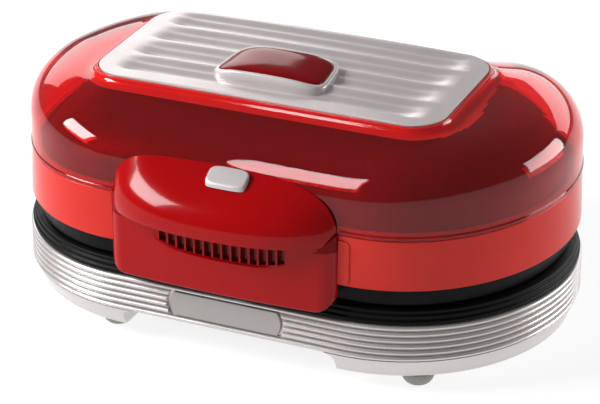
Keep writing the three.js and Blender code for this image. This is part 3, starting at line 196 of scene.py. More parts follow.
class BaseSizes(bpy.types.PropertyGroup):
    """The base: ribbed band, lobes, rim, plaque, feet and cover."""

    end_length: length("End length", 0.085, "Length of each round end of the body")
    band_bottom: length("Band bottom", 0.018, "Height where the ribs start")
    rib_count: count("Ribs", 6, "Ribs round the band")
    rib_depth: length("Rib depth", 0.0009, "How far the ribs stand in front of the rim")
    groove_depth: length("Groove depth", 0.0019, "Depth of the grooves between the ribs")
    rib_share: ratio("Rib share", 0.74, "Share of each pitch that the rib fills")
    wall: length("Wall", 0.0025, "Wall of the mouldings")
    lobe_tuck_width: length("Lobe tuck, ends", 0.004, "How far the lobes draw in at the ends")
    lobe_tuck_depth: length("Lobe tuck, sides", 0.005, "How far the lobes draw in at front and back")
    lobe_tuck_end: length("Lobe end cut", 0.0024, "How much shorter the lobes' round ends are")
    lobe_edge: length("Lobe edge", 0.0025, "Rounding under the lobes")
    arch_half_width: length("Arch half width", 0.0572, "Half the width of the arch between the lobes")
    arch_top_radius: length("Arch top radius", 0.005, "Fillet where the arch meets its roof")
    arch_foot_radius: length("Arch foot radius", 0.001, "Rounding where the arch meets the ground side")
    plaque_recess: length("Plaque recess", 0.0026, "Depth of the recess behind the plaque")
    plaque_side_gap: length("Plaque side gap", 0.0014, "Space at each end of the plaque")
    plaque_bulge: length("Plaque bulge", 0.002, "How far the plaque's ends bow out")
    plaque_bottom_rib: count("Plaque bottom rib", 1, "Ribs that run below the plaque")
    plaque_top_rib: count("Plaque top rib", 5, "Ribs up to the plaque's top")
    gap: length("Gap", 0.0003, "Clearance between pieces")
    foot_edge: length("Foot edge", 0.0005, "Rounding of the feet's edges")
    cover_corner: length("Cover corner", 0.003, "Corner radius of the bottom cover")
    cover_border: length("Cover border", 0.007, "Width of the cover's plain border")
    cover_sheet: length("Cover thickness", 0.0016, "Thickness of the cover")
    opening_corner: length("Opening corner", 0.002, "Corner radius of the tub's opening")
    cover_slots: count("Cover slots", 7, "Air slots in the bottom cover")
    cover_slot_width: length("Cover slot width", 0.003, "Width of the air slots")
    cover_slot_reach: length("Cover slot reach", 0.018, "Half the length of the air slots")


class RimSizes(bpy.types.PropertyGroup):
    """The black rim above the silver band."""

    outer_inset: length("Outer inset", 0.001, "How far the rim stands inside the band")
    step: length("Step", 0.0009, "Width of each step")
    crown_slope: length("Crown slope", 0.0014, "Slope at the rim's top")
    inner_inset: length("Inner inset", 0.012, "Place of the rim's inner wall")
    ledge_width: length("Ledge width", 0.005, "Width of the ledge under the cooking plate")
    plate_recess: length("Plate recess", 0.0048, "How far the ledge lies below the rim's top")
    lip: length("Lip", 0.0022, "Thickness of the lip inside the tub")
    rise: length("Rise", 0.0076, "Height of the rim above the band")


class LidSizes(bpy.types.PropertyGroup):
    """The lid: collar, ring, dome, liner and top plate."""

    ring_foot_back: length("Ring foot setback", 0.001, "How far back the ring's foot is")
    ring_top_back: length("Ring top setback", 0.002, "How far back the ring's top is")
    ring_foot_cut: length("Ring foot end cut", 0.0043, "How much shorter the foot's round ends are")
    ring_top_cut: length("Ring top end cut", 0.008, "How much shorter the top's round ends are")
    ring_lean: length("Ring lean", 0.0014, "How much narrower the ring's top is on each side")
    ring_lip_rise: length("Ring lip rise", 0.003, "Height of the ring's lip inside the dome")
    ring_lip_inset: length("Ring lip inset", 0.0029, "Place of that lip")
    ring_lip: length("Ring lip", 0.002, "Thickness of that lip")
    ring_flange: length("Ring flange", 0.008, "Width of the ring's foot flange")
    wall: length("Wall", 0.0025, "Wall of the mouldings")
    collar_inset: length("Collar inset", 0.004, "How far the collar stands inside the ring")
    collar_chamfer: length("Collar chamfer", 0.0008, "Width of the chamfer under the collar")
    collar_chamfer_rise: length("Collar chamfer height", 0.0012, "Height of that chamfer")
    collar_ledge: length("Collar ledge", 0.015, "Place of the collar's inner ledge")
    collar_ledge_drop: length("Collar ledge height", 0.0038, "Height of that ledge above the collar's foot")
    collar_ledge_wall: length("Collar ledge wall", 0.002, "Thickness of that ledge")
    lip_out: length("Dome lip", 0.0005, "How far the dome's foot bead stands out")
    lip_height: length("Dome lip height", 0.0016, "Height of that bead")
    wall_height: length("Wall height", 0.0146, "Straight wall of the dome above the ring")
    wall_end_rise: length("Wall end rise", 0.002, "How much higher the wall is at the ends")
    wall_back_drop: length("Wall back drop", 0.010, "How much lower it is towards the back")
    shoulder_height: length("Shoulder height", 0.0241, "Height of the shoulder above the ring")
    shoulder_drop: length("Shoulder drop", 0.004, "How much lower the shoulder is at the back")
    shoulder_run: length("Shoulder run", 0.013, "Run of the shoulder's round")
    lean: length("Wall lean", 0.001, "How far the wall leans in")
    end_start: length("End start", 0.050, "Where the round ends begin to swell")
    step_flare: length("Step flare", 0.0064, "How far the step stands out round the plate")
    step_height: length("Step height", 0.0045, "Height of the step")
    step_land: length("Step land", 0.0012, "Width of the step's top")
    plate_radius: length("Plate corner", 0.017, "Corner radius of the top plate")
    plate_sheet: length("Plate thickness", 0.0018, "Thickness of the top plate")
    plate_crown: length("Plate crown", 0.0012, "Rise of the plate's middle")
    plate_gap: length("Plate gap", 0.0005, "Gap round the top plate")
    plate_drop: length("Plate drop", 0.0004, "How far the step's top lies below the plate")
    seat_gap: length("Seat gap", 0.0003, "Clearance under the plate")
    liner_inset: length("Liner inset", 0.0052, "Space between the dome's face and the liner")
    liner_corner: ratio("Liner corner", 0.45, "Fullness of the liner's corners at the ends")
    liner_wall_height: length("Liner wall", 0.0046, "Straight wall of the liner")
    liner_end_rise: length("Liner end rise", -0.006, "Change of that wall at the ends")
    liner_shoulder: length("Liner shoulder", 0.0246, "Height of the liner's shoulder")
    liner_run: length("Liner run", 0.016, "Run of the liner's round")
    liner_drop: length("Liner drop", 0.008, "How far the liner's top lies below the plate")
    liner_sheet: length("Liner thickness", 0.001, "Thickness of the liner")
    trough_count: count("Troughs", 4, "Long troughs in the top plate")
    trough_end: length("Trough end inset", 0.013, "Where the troughs fade out")
    trough_first: length("First trough", 0.008, "Place of the first trough from the front")
    trough_pitch: length("Trough pitch", 0.0195, "Distance from trough to trough")
    trough_width: length("Trough width", 0.018, "Width of a trough")
    trough_depth: length("Trough depth", 0.0024, "Depth of a trough")


class BadgeSizes(bpy.types.PropertyGroup):
    """The badge on the top plate."""

    power: ratio("Squareness", 5.0, "Squareness of the badge's outline")
    flare: ratio("Flare", 0.06, "How much wider the badge's front is")
    bevel: length("Bevel", 0.0008, "Bevel round the bezel")
    rim_width: length("Rim width", 0.0019, "Width of the bezel at its ends")
    rim_depth: length("Rim depth", 0.0019, "Width of the bezel at front and back")
    height: length("Height", 0.0017, "Height of the bezel at its ends")
    lip: length("Lip", 0.0005, "Rounding of the bezel's inner edge")
    floor: length("Floor", 0.0008, "Floor under the lens")
    arch: length("Arch", 0.0032, "How much higher the badge's middle is than its ends")
    lens_bulge: length("Lens bulge", 0.0009, "How far the lens stands above the bezel")


class HandleSizes(bpy.types.PropertyGroup):
    """The handle: skirt, cap and release button."""

    reach: length("Reach", 0.0067, "How far the skirt stands in front of the ring")
    bow: length("Bow", 0.002, "How far the skirt's front bows out")
    corner: length("Corner radius", 0.0095, "Plan radius of the skirt's corners")
    foot_corner: length("Foot corner", 0.0105, "Radius of the skirt's lower corners")
    edge: length("Edge", 0.0012, "Rounding of the skirt's edges")
    panel_reach: length("Panel reach", 0.0052, "How far the panel behind the skirt shows beside it")
    panel_rise: length("Panel inset", 0.0006, "Distance from the panel to the ring's edges")
    panel_depth: length("Panel depth", 0.0006, "How far the panel stands out")
    panel_power: ratio("Panel squareness", 16.0, "Squareness of the panel")
    wall: length("Wall", 0.0025, "Wall of the skirt")
    back_wall: length("Back wall", 0.0008, "Wall behind the slots")
    recess_x: length("Recess centre", 0.0025, "Middle of the finger recess")
    recess_half: length("Recess half width", 0.0366, "Half the width of the recess")
    recess_depth: length("Recess depth", 0.0012, "Depth of the recess behind the bowed face")
    recess_height: length("Recess height", 0.0156, "Height of the recess below the seam")
    recess_sag: length("Recess sag", 0.0055, "How much its lower edge curves")
    recess_ramp: length("Recess ramp", 0.0008, "Width of the recess's rounded lower edge")
    recess_side: length("Recess side", 0.0026, "Width of the recess's sloping ends")
    slot_count: count("Slots", 14, "Slots in the recess")
    slot_pitch: length("Slot pitch", 0.00482, "Distance from slot to slot")
    slot_width: length("Slot width", 0.0036, "Width of a slot")
    slot_depth: length("Slot depth", 0.0026, "Depth of a slot")
    slot_start: length("Slot start", 0.0001, "Height of the slots above the recess's edge")
    slot_stop: length("Slot stop", 0.0025, "Distance from the slots to the seam")
    side_inset: length("Cap side inset", 0.0012, "How much narrower the cap is than the skirt")
    root_depth: length("Cap root", 0.0003, "Where the cap's front rim starts, behind the ring's face")
    back_depth: length("Cap back", 0.0038, "How far the cap's roof runs back")
    back_curve: length("Cap back curve", 0.004, "How far its back edge curves")
    left_roof: ratio("Left roof", 6.5, "How long the cap's roof stays high to the left")
    right_roof: ratio("Right roof", 3.2, "How long the cap's roof stays high to the right")
    roof_taper: ratio("Roof taper", 0.33, "Roundness of the roof's ends")
    plan_power: ratio("Plan power", 2.4, "Fullness of the cap's front rim")
    left_taper: ratio("Left taper", 0.62, "Sharpness of the rim's left end")
    right_taper: ratio("Right taper", 0.72, "Sharpness of the rim's right end")
    side_power: ratio("Side power", 3.3, "Fullness of the cap's section")
    shoulder: ratio("Shoulder", 0.5, "Share of the cap's height below its sloping roof")
    cap_lip: length("Cap lip", 0.0004, "Chamfer under the cap's front rim")
    clearance: length("Clearance", 0.0004, "Clearance between the cap and the lid")
    pad_power: ratio("Button squareness", 4.0, "Squareness of the button")
    pad_half_width: length("Button half width", 0.0105, "Half the width of the button")
    pad_x: length("Button centre", 0.0043, "Middle of the button")
    pad_height: length("Button height", 0.0081, "Height of the button's sides")
    pad_edge: length("Button edge", 0.0012, "Rounding of the button's top")
    pad_wall: length("Button wall", 0.00125, "Wall of the hollow button")
    pad_tilt: ratio("Button tilt", 0.6, "How much the button's top slopes to the front")


class GrillSizes(bpy.types.PropertyGroup):
    """The cooking plates and their wells."""

    well_radius: length("Well radius", 0.055, "Radius of each round well")
    well_spacing: length("Well spacing", 0.061, "Distance of each well from the middle")
    cup_wall: length("Cup wall", 0.003, "Wall of each well")
    thickness: length("Thickness", 0.0032, "Thickness of the plates")
    lower_depth: length("Lower depth", 0.009, "Depth of the lower wells")
    upper_depth: length("Upper depth", 0.007, "Depth of the upper wells")
    bar_count: count("Bars", 5, "Low bars across each well")
    bar_width: length("Bar width", 0.0024, "Width of a bar")
    bar_height: length("Bar height", 0.0012, "Height of a bar")
    bar_reach: ratio("Bar reach", 0.82, "Share of the well that a bar spans")
    fillet: length("Fillet", 0.003, "Fillet at a well's floor")
    bead: length("Bead", 0.0018, "Width of the bead round a well")


class Colours(bpy.types.PropertyGroup):
    """The finishes' colours."""

    silver: paint("Silver", (0.81, 0.79, 0.785), "Silver paint of the base")
    foot_grey: paint("Foot grey", (0.60, 0.59, 0.57), "Rubber of the feet")
    black: paint("Black", (0.016, 0.016, 0.02), "Black mouldings")
    ring_red: paint("Ring red", (0.77, 0.165, 0.135), "Opaque ring of the lid")
    handle_red: paint("Handle red", (0.60, 0.012, 0.027), "Handle")
    # Painted shade: a darker red for the slots' sides and floors
    slot_red: paint("Painted slot shade", (0.40, 0.005, 0.012), "Shaded red inside the slots")
    step_ruby: paint("Step ruby", (0.93, 0.10, 0.10), "Denser tint of the dome's step")
    plaque_grey: paint("Plaque grey", (0.64, 0.62, 0.615), "Name panel")
    ruby: paint("Ruby", (0.94, 0.16, 0.185), "Tint of the clear dome")
    dark_liner: paint("Liner", (0.17, 0.11, 0.11), "Heat shield inside the dome")
    plate_silver: paint("Plate silver", (0.84, 0.80, 0.80), "Top plate")
    lens_red: paint("Lens red", (0.46, 0.010, 0.025), "Badge lens")
    pale_grey: paint("Pale grey", (0.78, 0.75, 0.75), "Badge bezel and button")
    cast_plate: paint("Cast plate", (0.17, 0.165, 0.16), "Coated cooking plates")
    heater_steel: paint("Heater steel", (0.46, 0.43, 0.41), "Heating elements")
    bright_sheet: paint("Bright sheet", (0.80, 0.80, 0.79), "Reflectors")
    steel: paint("Steel", (0.66, 0.66, 0.67), "Screws, pins and latch")
    ceramic: paint("Ceramic", (0.90, 0.88, 0.84), "Insulating mouldings")
    floor: paint("Floor", (0.5, 0.5, 0.5), "Studio floor")


class StageSettings(bpy.types.PropertyGroup):
    """The camera and the studio lights."""

    distance: length("Camera distance", 1.261, "From the camera to the point it looks at")
    azimuth: ratio("Azimuth", 24.564, "Degrees from the front towards the right")
    elevation: ratio("Elevation", 24.413, "Degrees above the level")
    target_x: length("Target X", -0.00137, "Point that the camera looks at")
    target_back: length("Target Y", -0.00063, "The same, from the body's middle")
    target_z: length("Target Z", 0.04941, "The same, above the ground")
    lens: ratio("Lens", 147.87, "Focal length in millimetres on a 36 mm sensor")
    world: ratio("World light", 0.2, "Strength of the light from all round")


GROUPS = {
    "burger_base": BaseSizes,
    "burger_rim": RimSizes,
    "burger_lid": LidSizes,
    "burger_badge": BadgeSizes,
    "burger_handle": HandleSizes,
    "burger_grill": GrillSizes,
    "burger_colours": Colours,
    "burger_stage": StageSettings,
}


def sizes(group):
    """The settings of one part of the object."""
    return getattr(bpy.context.scene, "burger_" + group)


# Plans and outlines


def body_plan():
    """The base's oval: straight front and back, half-elliptic ends."""
    half_depth = (TUB_HIGH.y - TUB_LOW.y) / 2
    return Plan(TUB_HIGH.x, half_depth, sizes("base").end_length, MIDDLE_Y)


def ring_plan():
    """The oval of the red ring's foot."""
    lid = sizes("lid")
    centre = MIDDLE_Y + lid.ring_foot_back
    end_length = sizes("base").end_length - lid.ring_foot_cut
    return Plan(RING_HIGH.x, centre - RING_LOW.y, end_length, centre)


def dome_plan():
    """The oval of the red ring's top, where the dome stands."""
    lid = sizes("lid")
    centre = MIDDLE_Y + lid.ring_top_back
    end_length = sizes("base").end_length - lid.ring_top_cut
    return Plan(RING_HIGH.x - lid.ring_lean, RING_HIGH.y - centre, end_length, centre)


def stations():
    """Places round an oval, anticlockwise from the front of the right end."""
    found = []
    for side in (1, -1):
        found += [("end", side, i / END_STEPS) for i in range(END_STEPS + 1)]
        found += [("flank", side, i / FLANK_STEPS) for i in range(1, FLANK_STEPS)]
    return found


def oval_place(plan, inset, station):
    """A point of an oval, moved in by an inset."""
    kind, side, share = station
    end_length = plan.end_length - inset
    straight = plan.half_width - inset - end_length
    half_depth = plan.half_depth - inset
    if kind == "end":
        turn = HALF_TURN * share - QUARTER_TURN
        x = side * (straight + end_length * math.cos(turn))
        return x, plan.centre_y + side * half_depth * math.sin(turn)
    return side * straight * (1 - 2 * share), plan.centre_y + side * half_depth


def oval(plan, inset=0.0):
    """An oval's outline, moved in by an inset."""
    return [oval_place(plan, inset, station) for station in stations()]


def plate_plan(inset=0.0):
    """The top plate's corner radius, half width, half depth and middle, moved in by an inset."""
    radius = sizes("lid").plate_radius - inset
    half_depth = (PLATE_HIGH.y - PLATE_LOW.y) / 2 - inset
    return radius, PLATE_HIGH.x - inset, half_depth, (PLATE_HIGH.y + PLATE_LOW.y) / 2


def plate_place(inset, station):
    """A point of the top plate's round-cornered outline that answers to a place on the oval."""
    kind, side, share = station
    radius, half_width, half_depth, centre_y = plate_plan(inset)
    corner = QUARTER_TURN * radius
    straight = 2 * (half_depth - radius)
    if kind == "flank":
        return side * (half_width - radius) * (1 - 2 * share), centre_y + side * half_depth
    along = (corner + straight + corner) * share
    if along < corner:
        turn = along / radius
        x = half_width - radius + radius * math.sin(turn)
        y = -half_depth + radius - radius * math.cos(turn)
    elif along < corner + straight:
        x, y = half_width, -half_depth + radius + along - corner
    else:
        turn = (along - corner - straight) / radius
        x = half_width - radius + radius * math.cos(turn)
        y = half_depth - radius + radius * math.sin(turn)
    return side * x, centre_y + side * y


def plate_height(y):
    """Height of the sloping plane of the top plate's edge."""
    lid = sizes("lid")
    front = PLATE_LOW.z + lid.plate_sheet
    back = PLATE_HIGH.z - lid.plate_crown
    return front + (back - front) * (y - PLATE_LOW.y) / (PLATE_HIGH.y - PLATE_LOW.y)


def level(outline, z):
    """An outline at one height."""
    return [(x, y, z) for x, y in outline]


def on_plate(outline, rise):
    """An outline laid on the plate's slope, lifted by a rise."""
    return [(x, y, plate_height(y) + rise) for x, y in outline]


def swell(value, power):
    """A sine or cosine made squarer by a power; two leaves it as it is."""
    return math.copysign(abs(value) ** (2 / power), value)


def steps_between(start, stop, steps):
    """Evenly spaced values, both ends included."""
    return [start + (stop - start) * i / steps for i in range(steps + 1)]


def squared(centre, halves, power, steps=ROUND_STEPS):
    """A squared oval in plan."""
    return [
        (centre[0] + halves[0] * swell(math.cos(turn), power),
         centre[1] + halves[1] * swell(math.sin(turn), power))
        for turn in steps_between(0, FULL_TURN, steps)[:-1]
    ]


def arc(centre, radius, start, stop, steps=FILLET_STEPS):
    """Points of an arc from one angle to another."""
    turns = steps_between(start, stop, steps)
    return [(centre[0] + radius * math.cos(t), centre[1] + radius * math.sin(t)) for t in turns]


def circle(centre, radius, steps):
    """A circle's outline, anticlockwise."""
    return arc(centre, radius, 0, FULL_TURN, steps)[:-1]


def slot_hole(x, centre_y, reach, radius):
    """A slot along Y with round ends, anticlockwise."""
    far_end = arc((x, centre_y + reach), radius, 0, HALF_TURN)
    return far_end + arc((x, centre_y - reach), radius, HALF_TURN, FULL_TURN)


def held(share):
    """A share kept between 0 and 1."""
    return min(1.0, max(0.0, share))


def ease(share):
    """A share from 0 to 1 that starts and stops gently."""
    share = held(share)
    return share * share * (3 - 2 * share)


def bow(share):
    """A shallow bow: 0 at shares 0 and 1, and 1 between them."""
    return 1 - (2 * share - 1) ** 2


def round_fall(share):
    """How far a quarter circle of radius 1 has fallen at a share of its run."""
    return 1 - math.sqrt(max(0.0, 1 - share * share))


class Shape:
    """Points and faces gathered for one mesh."""

    def __init__(self):
        self.points = []
        self.faces = []

    def add(self, points, faces):
        """Adds points, and faces that count from the first of them."""
        base = len(self.points)
        self.points += [tuple(point) for point in points]
        self.faces += [[base + i for i in face] for face in faces]
        return self

    def rings(self, rings, closed=False, ends=True):
        """Adds a skin through rings of points: closed on the first ring, or with filled ends."""
        size = len(rings[0])
        joins = len(rings) if closed else len(rings) - 1
        faces = []
        for r in range(joins):
            low, high = r * size, (r + 1) % len(rings) * size
            for i in range(size):
                after = (i + 1) % size
                faces.append([low + i, low + after, high + after, high + i])
        if ends and not closed:
            last = (len(rings) - 1) * size
            faces.append(list(range(size))[::-1])
            faces.append([last + i for i in range(size)])
        return self.add([point for ring in rings for point in ring], faces)

    def grid(self, rows):
        """Adds an open sheet through rows of points."""
        width = len(rows[0])
        faces = [
            [r * width + i, r * width + i + 1, (r + 1) * width + i + 1, (r + 1) * width + i]
            for r in range(len(rows) - 1)
            for i in range(width - 1)
        ]
        return self.add([point for row in rows for point in row], faces)

    def lathe(self, profile, axis, centre, steps=ROUND_STEPS):
        """Adds a turned body from (radius, along) pairs that start and stop on the axis."""
        rings = []
        for radius, along in profile:
            ring = []
            for i in range(steps):
                turn = FULL_TURN * i / steps
                u, v = radius * math.cos(turn), radius * math.sin(turn)
                offset = {"x": (along, u, v), "y": (v, along, u), "z": (u, v, along)}[axis]
                ring.append(tuple(Vector(centre) + Vector(offset)))
            rings.append(ring)
        return self.rings(rings)

    def prism(self, outline, low, high, axis="z"):
        """Adds an outline run along an axis from low to high."""
        place = {
            "x": lambda p, at: (at, p[0], p[1]),
            "y": lambda p, at: (p[0], at, p[1]),
            "z": lambda p, at: (p[0], p[1], at),
        }[axis]
        return self.rings([[place(p, at) for p in outline] for at in (low, high)])


def shade(mesh, sharp):
    """Smooth shading, except across edges sharper than some degrees."""
    mesh.polygons.foreach_set("use_smooth", [True] * len(mesh.polygons))
    mesh.set_sharp_from_angle(angle=math.radians(sharp))


def mesh_of(shape, name, sharp=SHARP_ANGLE):
    """A clean mesh whose faces point out, smooth except across edges sharper than some degrees."""
    mesh = bpy.data.meshes.new(name)
    mesh.from_pydata(shape.points, [], shape.faces)
    work = bmesh.new()
    work.from_mesh(mesh)
    bmesh.ops.remove_doubles(work, verts=work.verts, dist=1e-6)
    bmesh.ops.dissolve_degenerate(work, dist=1e-7, edges=work.edges)
    bmesh.ops.recalc_face_normals(work, faces=work.faces)
    work.to_mesh(mesh)
    work.free()
    shade(mesh, sharp)
    return mesh


def add_object(name, data):
    """A new object in the scene."""
    made = bpy.data.objects.new(name, data)
    bpy.context.scene.collection.objects.link(made)
    return made


def final_mesh(holder):
    """A mesh of an object with its modifiers or its curve's thickness worked in."""
    bpy.context.view_layer.update()
    ready = holder.evaluated_get(bpy.context.evaluated_depsgraph_get())
    return bpy.data.meshes.new_from_object(ready)


def soften(piece, width, segments):
    """Rounds every sharp edge."""
    bevel = piece.modifiers.new("edges", "BEVEL")
    bevel.width = width
    bevel.segments = segments
    bevel.limit_method = "ANGLE"
    bevel.angle_limit = math.radians(SHARP_ANGLE)
    bevel.harden_normals = True


def place_piece(name, mesh, slot, body, nodes, finish_name=None, matrix=None):
    """Puts a mesh in the scene as a piece that rides on a body and stands for CAD nodes."""
    piece = add_object(name, mesh)
    if matrix is not None:
        piece.matrix_world = matrix
    if not mesh.materials:
        mesh.materials.append(finish(finish_name or slot))
    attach(piece, body)
    if nodes:
        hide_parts(*nodes)
    return piece


def make_piece(name, shape, slot, body, nodes=(), edge=0.0, segments=3, finish_name=None):
    """Makes a piece from a shape, with its edges rounded by edge."""
    mesh = mesh_of(shape, name, NEVER_SHARP if edge else SHARP_ANGLE)
    piece = place_piece(name, mesh, slot, body, nodes, finish_name)
    if edge:
        soften(piece, edge, segments)
    return piece


def sheet_mesh(name, outline, holes, low, high, edge):
    """A flat plate with holes and rounded edges, as a plain mesh."""
    curve = bpy.data.curves.new(name, "CURVE")
    curve.dimensions = "2D"
    curve.fill_mode = "BOTH"
    for loop in [outline, *holes]:
        spline = curve.splines.new("POLY")
        spline.points.add(len(loop) - 1)
        for point, (x, y) in zip(spline.points, loop):
            point.co = (x, y, 0, 1)
        spline.use_cyclic_u = True
    curve.extrude = (high - low) / 2 - edge
    curve.bevel_depth = edge
    curve.bevel_resolution = 1
    curve.offset = -edge
    holder = add_object(name, curve)
    holder.location.z = (low + high) / 2
    mesh = final_mesh(holder)
    mesh.transform(holder.matrix_world)
    bpy.data.objects.remove(holder)
    bpy.data.curves.remove(curve)
    mesh.name = name
    return mesh


def add_mesh(shape, mesh):
    """Adds a mesh's points and faces to a shape."""
    faces = [list(polygon.vertices) for polygon in mesh.polygons]
    shape.add([vertex.co for vertex in mesh.vertices], faces)
    bpy.data.meshes.remove(mesh)
    return shape


# Finishes

# Where a noise pattern's values mostly lie
NOISE_LOW = 0.3
NOISE_HIGH = 0.7


class Surface:
    """A material of one display colour: its shader and the small nodes that give it detail."""

    def __init__(self, name, colour):
        self.base = Color(colour).from_srgb_to_scene_linear()
        self.material = bpy.data.materials.new(name)
        self.material.use_nodes = True
        self.tree = self.material.node_tree
        self.shader = self.tree.nodes["Principled BSDF"]
        self.shader.inputs["Base Color"].default_value = (*self.base, 1)
        self.where = self.tree.nodes.new("ShaderNodeTexCoord").outputs["Object"]

    def set(self, **values):
        """Sets the shader's own sockets; an underscore stands for a space."""
        for name, value in values.items():
            self.shader.inputs[name.replace("_", " ")].default_value = value

    def stretched(self, scale):
        """Coordinates stretched along the axes."""
        mapping = self.tree.nodes.new("ShaderNodeMapping")
        mapping.inputs["Scale"].default_value = scale
        self.tree.links.new(self.where, mapping.inputs["Vector"])
        return mapping.outputs["Vector"]

    def noise(self, scale, detail=2.0, where=None):
        """A noise pattern; scale is in cells to the metre."""
        node = self.tree.nodes.new("ShaderNodeTexNoise")
        node.inputs["Scale"].default_value = scale
        node.inputs["Detail"].default_value = detail
        self.tree.links.new(where or self.where, node.inputs["Vector"])
        return node.outputs["Fac"]

    def cells(self, scale):
        """Small grains; scale is in cells to the metre."""
        node = self.tree.nodes.new("ShaderNodeTexVoronoi")
        node.inputs["Scale"].default_value = scale
        self.tree.links.new(self.where, node.inputs["Vector"])
        return node.outputs["Distance"]

    def vary(self, pattern, socket, low, high):
        """Lets a pattern move a number on the shader between two values."""
        node = self.tree.nodes.new("ShaderNodeMapRange")
        ends = {"From Min": NOISE_LOW, "From Max": NOISE_HIGH, "To Min": low, "To Max": high}
        for name, value in ends.items():
            node.inputs[name].default_value = value
        self.tree.links.new(pattern, node.inputs["Value"])
        self.tree.links.new(node.outputs["Result"], self.shader.inputs[socket])

    def tones(self, pattern, darker, lighter, bottom=NOISE_LOW, top=NOISE_HIGH):
        """Lets a pattern move the colour between a darker and a lighter tone of it."""
        ramp = self.tree.nodes.new("ShaderNodeValToRGB")
        for stop, place, factor in zip(ramp.color_ramp.elements, (bottom, top), (darker, lighter)):
            stop.position = place
            stop.color = (*[channel * factor for channel in self.base], 1)
        self.tree.links.new(pattern, ramp.inputs["Fac"])
        self.tree.links.new(ramp.outputs["Color"], self.shader.inputs["Base Color"])

    def relief(self, pattern, depth):
        """Raises the surface by a pattern, at most to a depth in metres."""
        bump = self.tree.nodes.new("ShaderNodeBump")
        bump.inputs["Distance"].default_value = depth
        bump.inputs["Strength"].default_value = 1.0
        self.tree.links.new(pattern, bump.inputs["Height"])
        self.tree.links.new(bump.outputs["Normal"], self.shader.inputs["Normal"])


def silver_finish(surface):
    """Silver metallic paint: fine flake, soft unevenness."""
    surface.tones(surface.noise(2400, 3), 0.90, 1.10)
    surface.vary(surface.noise(60), "Roughness", 0.27, 0.36)
    surface.relief(surface.noise(2600, 2), 0.00001)
    surface.set(Metallic=0.72, Coat_Weight=0.25, Coat_Roughness=0.12)


def rubber_finish(surface):
    """Moulded rubber: matt, fine grained, a little dusty."""
    surface.tones(surface.noise(300, 5), 0.85, 1.12)
    surface.vary(surface.noise(900), "Roughness", 0.68, 0.85)
    surface.relief(surface.noise(3000, 3), 0.00003)
    surface.set(Specular_IOR_Level=0.35)


def black_finish(surface):
    """Black heat-proof moulding: satin, with a fine spark-eroded grain."""
    surface.tones(surface.noise(500, 4), 0.75, 1.25)
    surface.vary(surface.noise(150), "Roughness", 0.36, 0.48)
    surface.relief(surface.noise(2200, 4), 0.000025)
    surface.set(Specular_IOR_Level=0.1)


def gloss_finish(surface):
    """Glossy coloured moulding: clear skin, very faint orange peel."""
    surface.tones(surface.noise(35, 3), 0.96, 1.04)
    surface.vary(surface.noise(90, 3), "Roughness", 0.15, 0.20)
    surface.relief(surface.noise(160, 1), 0.000005)
    surface.set(Specular_IOR_Level=0.08, Coat_Weight=0.22, Coat_Roughness=0.05, Coat_IOR=1.5)


def ruby_finish(surface):
    """Clear tinted dome: see-through ruby plastic with a polished skin."""
    surface.tones(surface.noise(12, 2), 0.97, 1.03)
    surface.relief(surface.noise(70, 1), 0.000006)
    surface.set(Transmission_Weight=0.92, Roughness=0.015, IOR=1.38)


def step_finish(surface):
    """The dome's thick step: the same clear plastic, but dense and glowing."""
    surface.tones(surface.noise(40, 2), 0.93, 1.05)
    surface.relief(surface.noise(70, 1), 0.000006)
    surface.set(Transmission_Weight=0.5, Roughness=0.06, IOR=1.46)


def liner_finish(surface):
    """Dark heat shield: smoked, slightly mottled."""
    surface.tones(surface.noise(45, 5), 0.8, 1.2)
    surface.vary(surface.noise(300), "Roughness", 0.42, 0.6)
    surface.relief(surface.noise(900, 4), 0.00003)


def plate_finish(surface):
    """Silver-coated plate: satin with a fine even sparkle."""
    surface.tones(surface.noise(2800, 2), 0.93, 1.07)
    surface.vary(surface.noise(50), "Roughness", 0.32, 0.38)
    surface.relief(surface.noise(3200, 2), 0.000008)
    surface.set(Metallic=0.6, Coat_Weight=0.12, Coat_Roughness=0.2)


def lens_finish(surface):
    """Dark red lens: deep, polished."""
    surface.tones(surface.noise(80, 2), 0.85, 1.15)
    surface.vary(surface.noise(120), "Roughness", 0.10, 0.16)
    surface.relief(surface.noise(200, 1), 0.00001)
    surface.set(Specular_IOR_Level=0.12, Coat_Weight=0.12, Coat_Roughness=0.02, Coat_IOR=1.5)


def pale_finish(surface):
    """Pale silver-grey moulding: smooth satin."""
    surface.tones(surface.noise(2400, 2), 0.95, 1.05)
    surface.vary(surface.noise(80), "Roughness", 0.30, 0.38)
    surface.relief(surface.noise(2600, 2), 0.000006)
    surface.set(Metallic=0.25, Coat_Weight=0.3, Coat_Roughness=0.1)


def cast_finish(surface):
    """Cast plate under a dark speckled non-stick coat."""
    surface.tones(surface.cells(1400), 0.8, 1.9, 0.05, 0.5)
    surface.vary(surface.noise(120, 4), "Roughness", 0.38, 0.55)
    surface.relief(surface.noise(1300, 4), 0.00004)
    surface.set(Metallic=0.2)


def heater_finish(surface):
    """Sheathed heater tube: dulled and tinted by heat."""
    surface.tones(surface.noise(90, 4), 0.7, 1.2)
    surface.vary(surface.noise(400), "Roughness", 0.4, 0.6)
    surface.relief(surface.noise(1500, 3), 0.00002)
    surface.set(Metallic=0.8)


def sheet_finish(surface):
    """Bright rolled sheet: long fine rolling lines."""
    surface.tones(surface.noise(400, 3), 0.88, 1.08)
    surface.vary(surface.noise(900, 3, surface.stretched((0.05, 1, 1))), "Roughness", 0.2, 0.38)
    surface.relief(surface.noise(1200, 2, surface.stretched((0.03, 1, 1))), 0.00001)
    surface.set(Metallic=0.95)


def steel_finish(surface):
    """Plated steel: turned and slightly worn."""
    surface.tones(surface.noise(700, 4), 0.85, 1.1)
    surface.vary(surface.noise(500, 3), "Roughness", 0.24, 0.4)
    surface.relief(surface.noise(2500, 2), 0.00001)
    surface.set(Metallic=0.95)


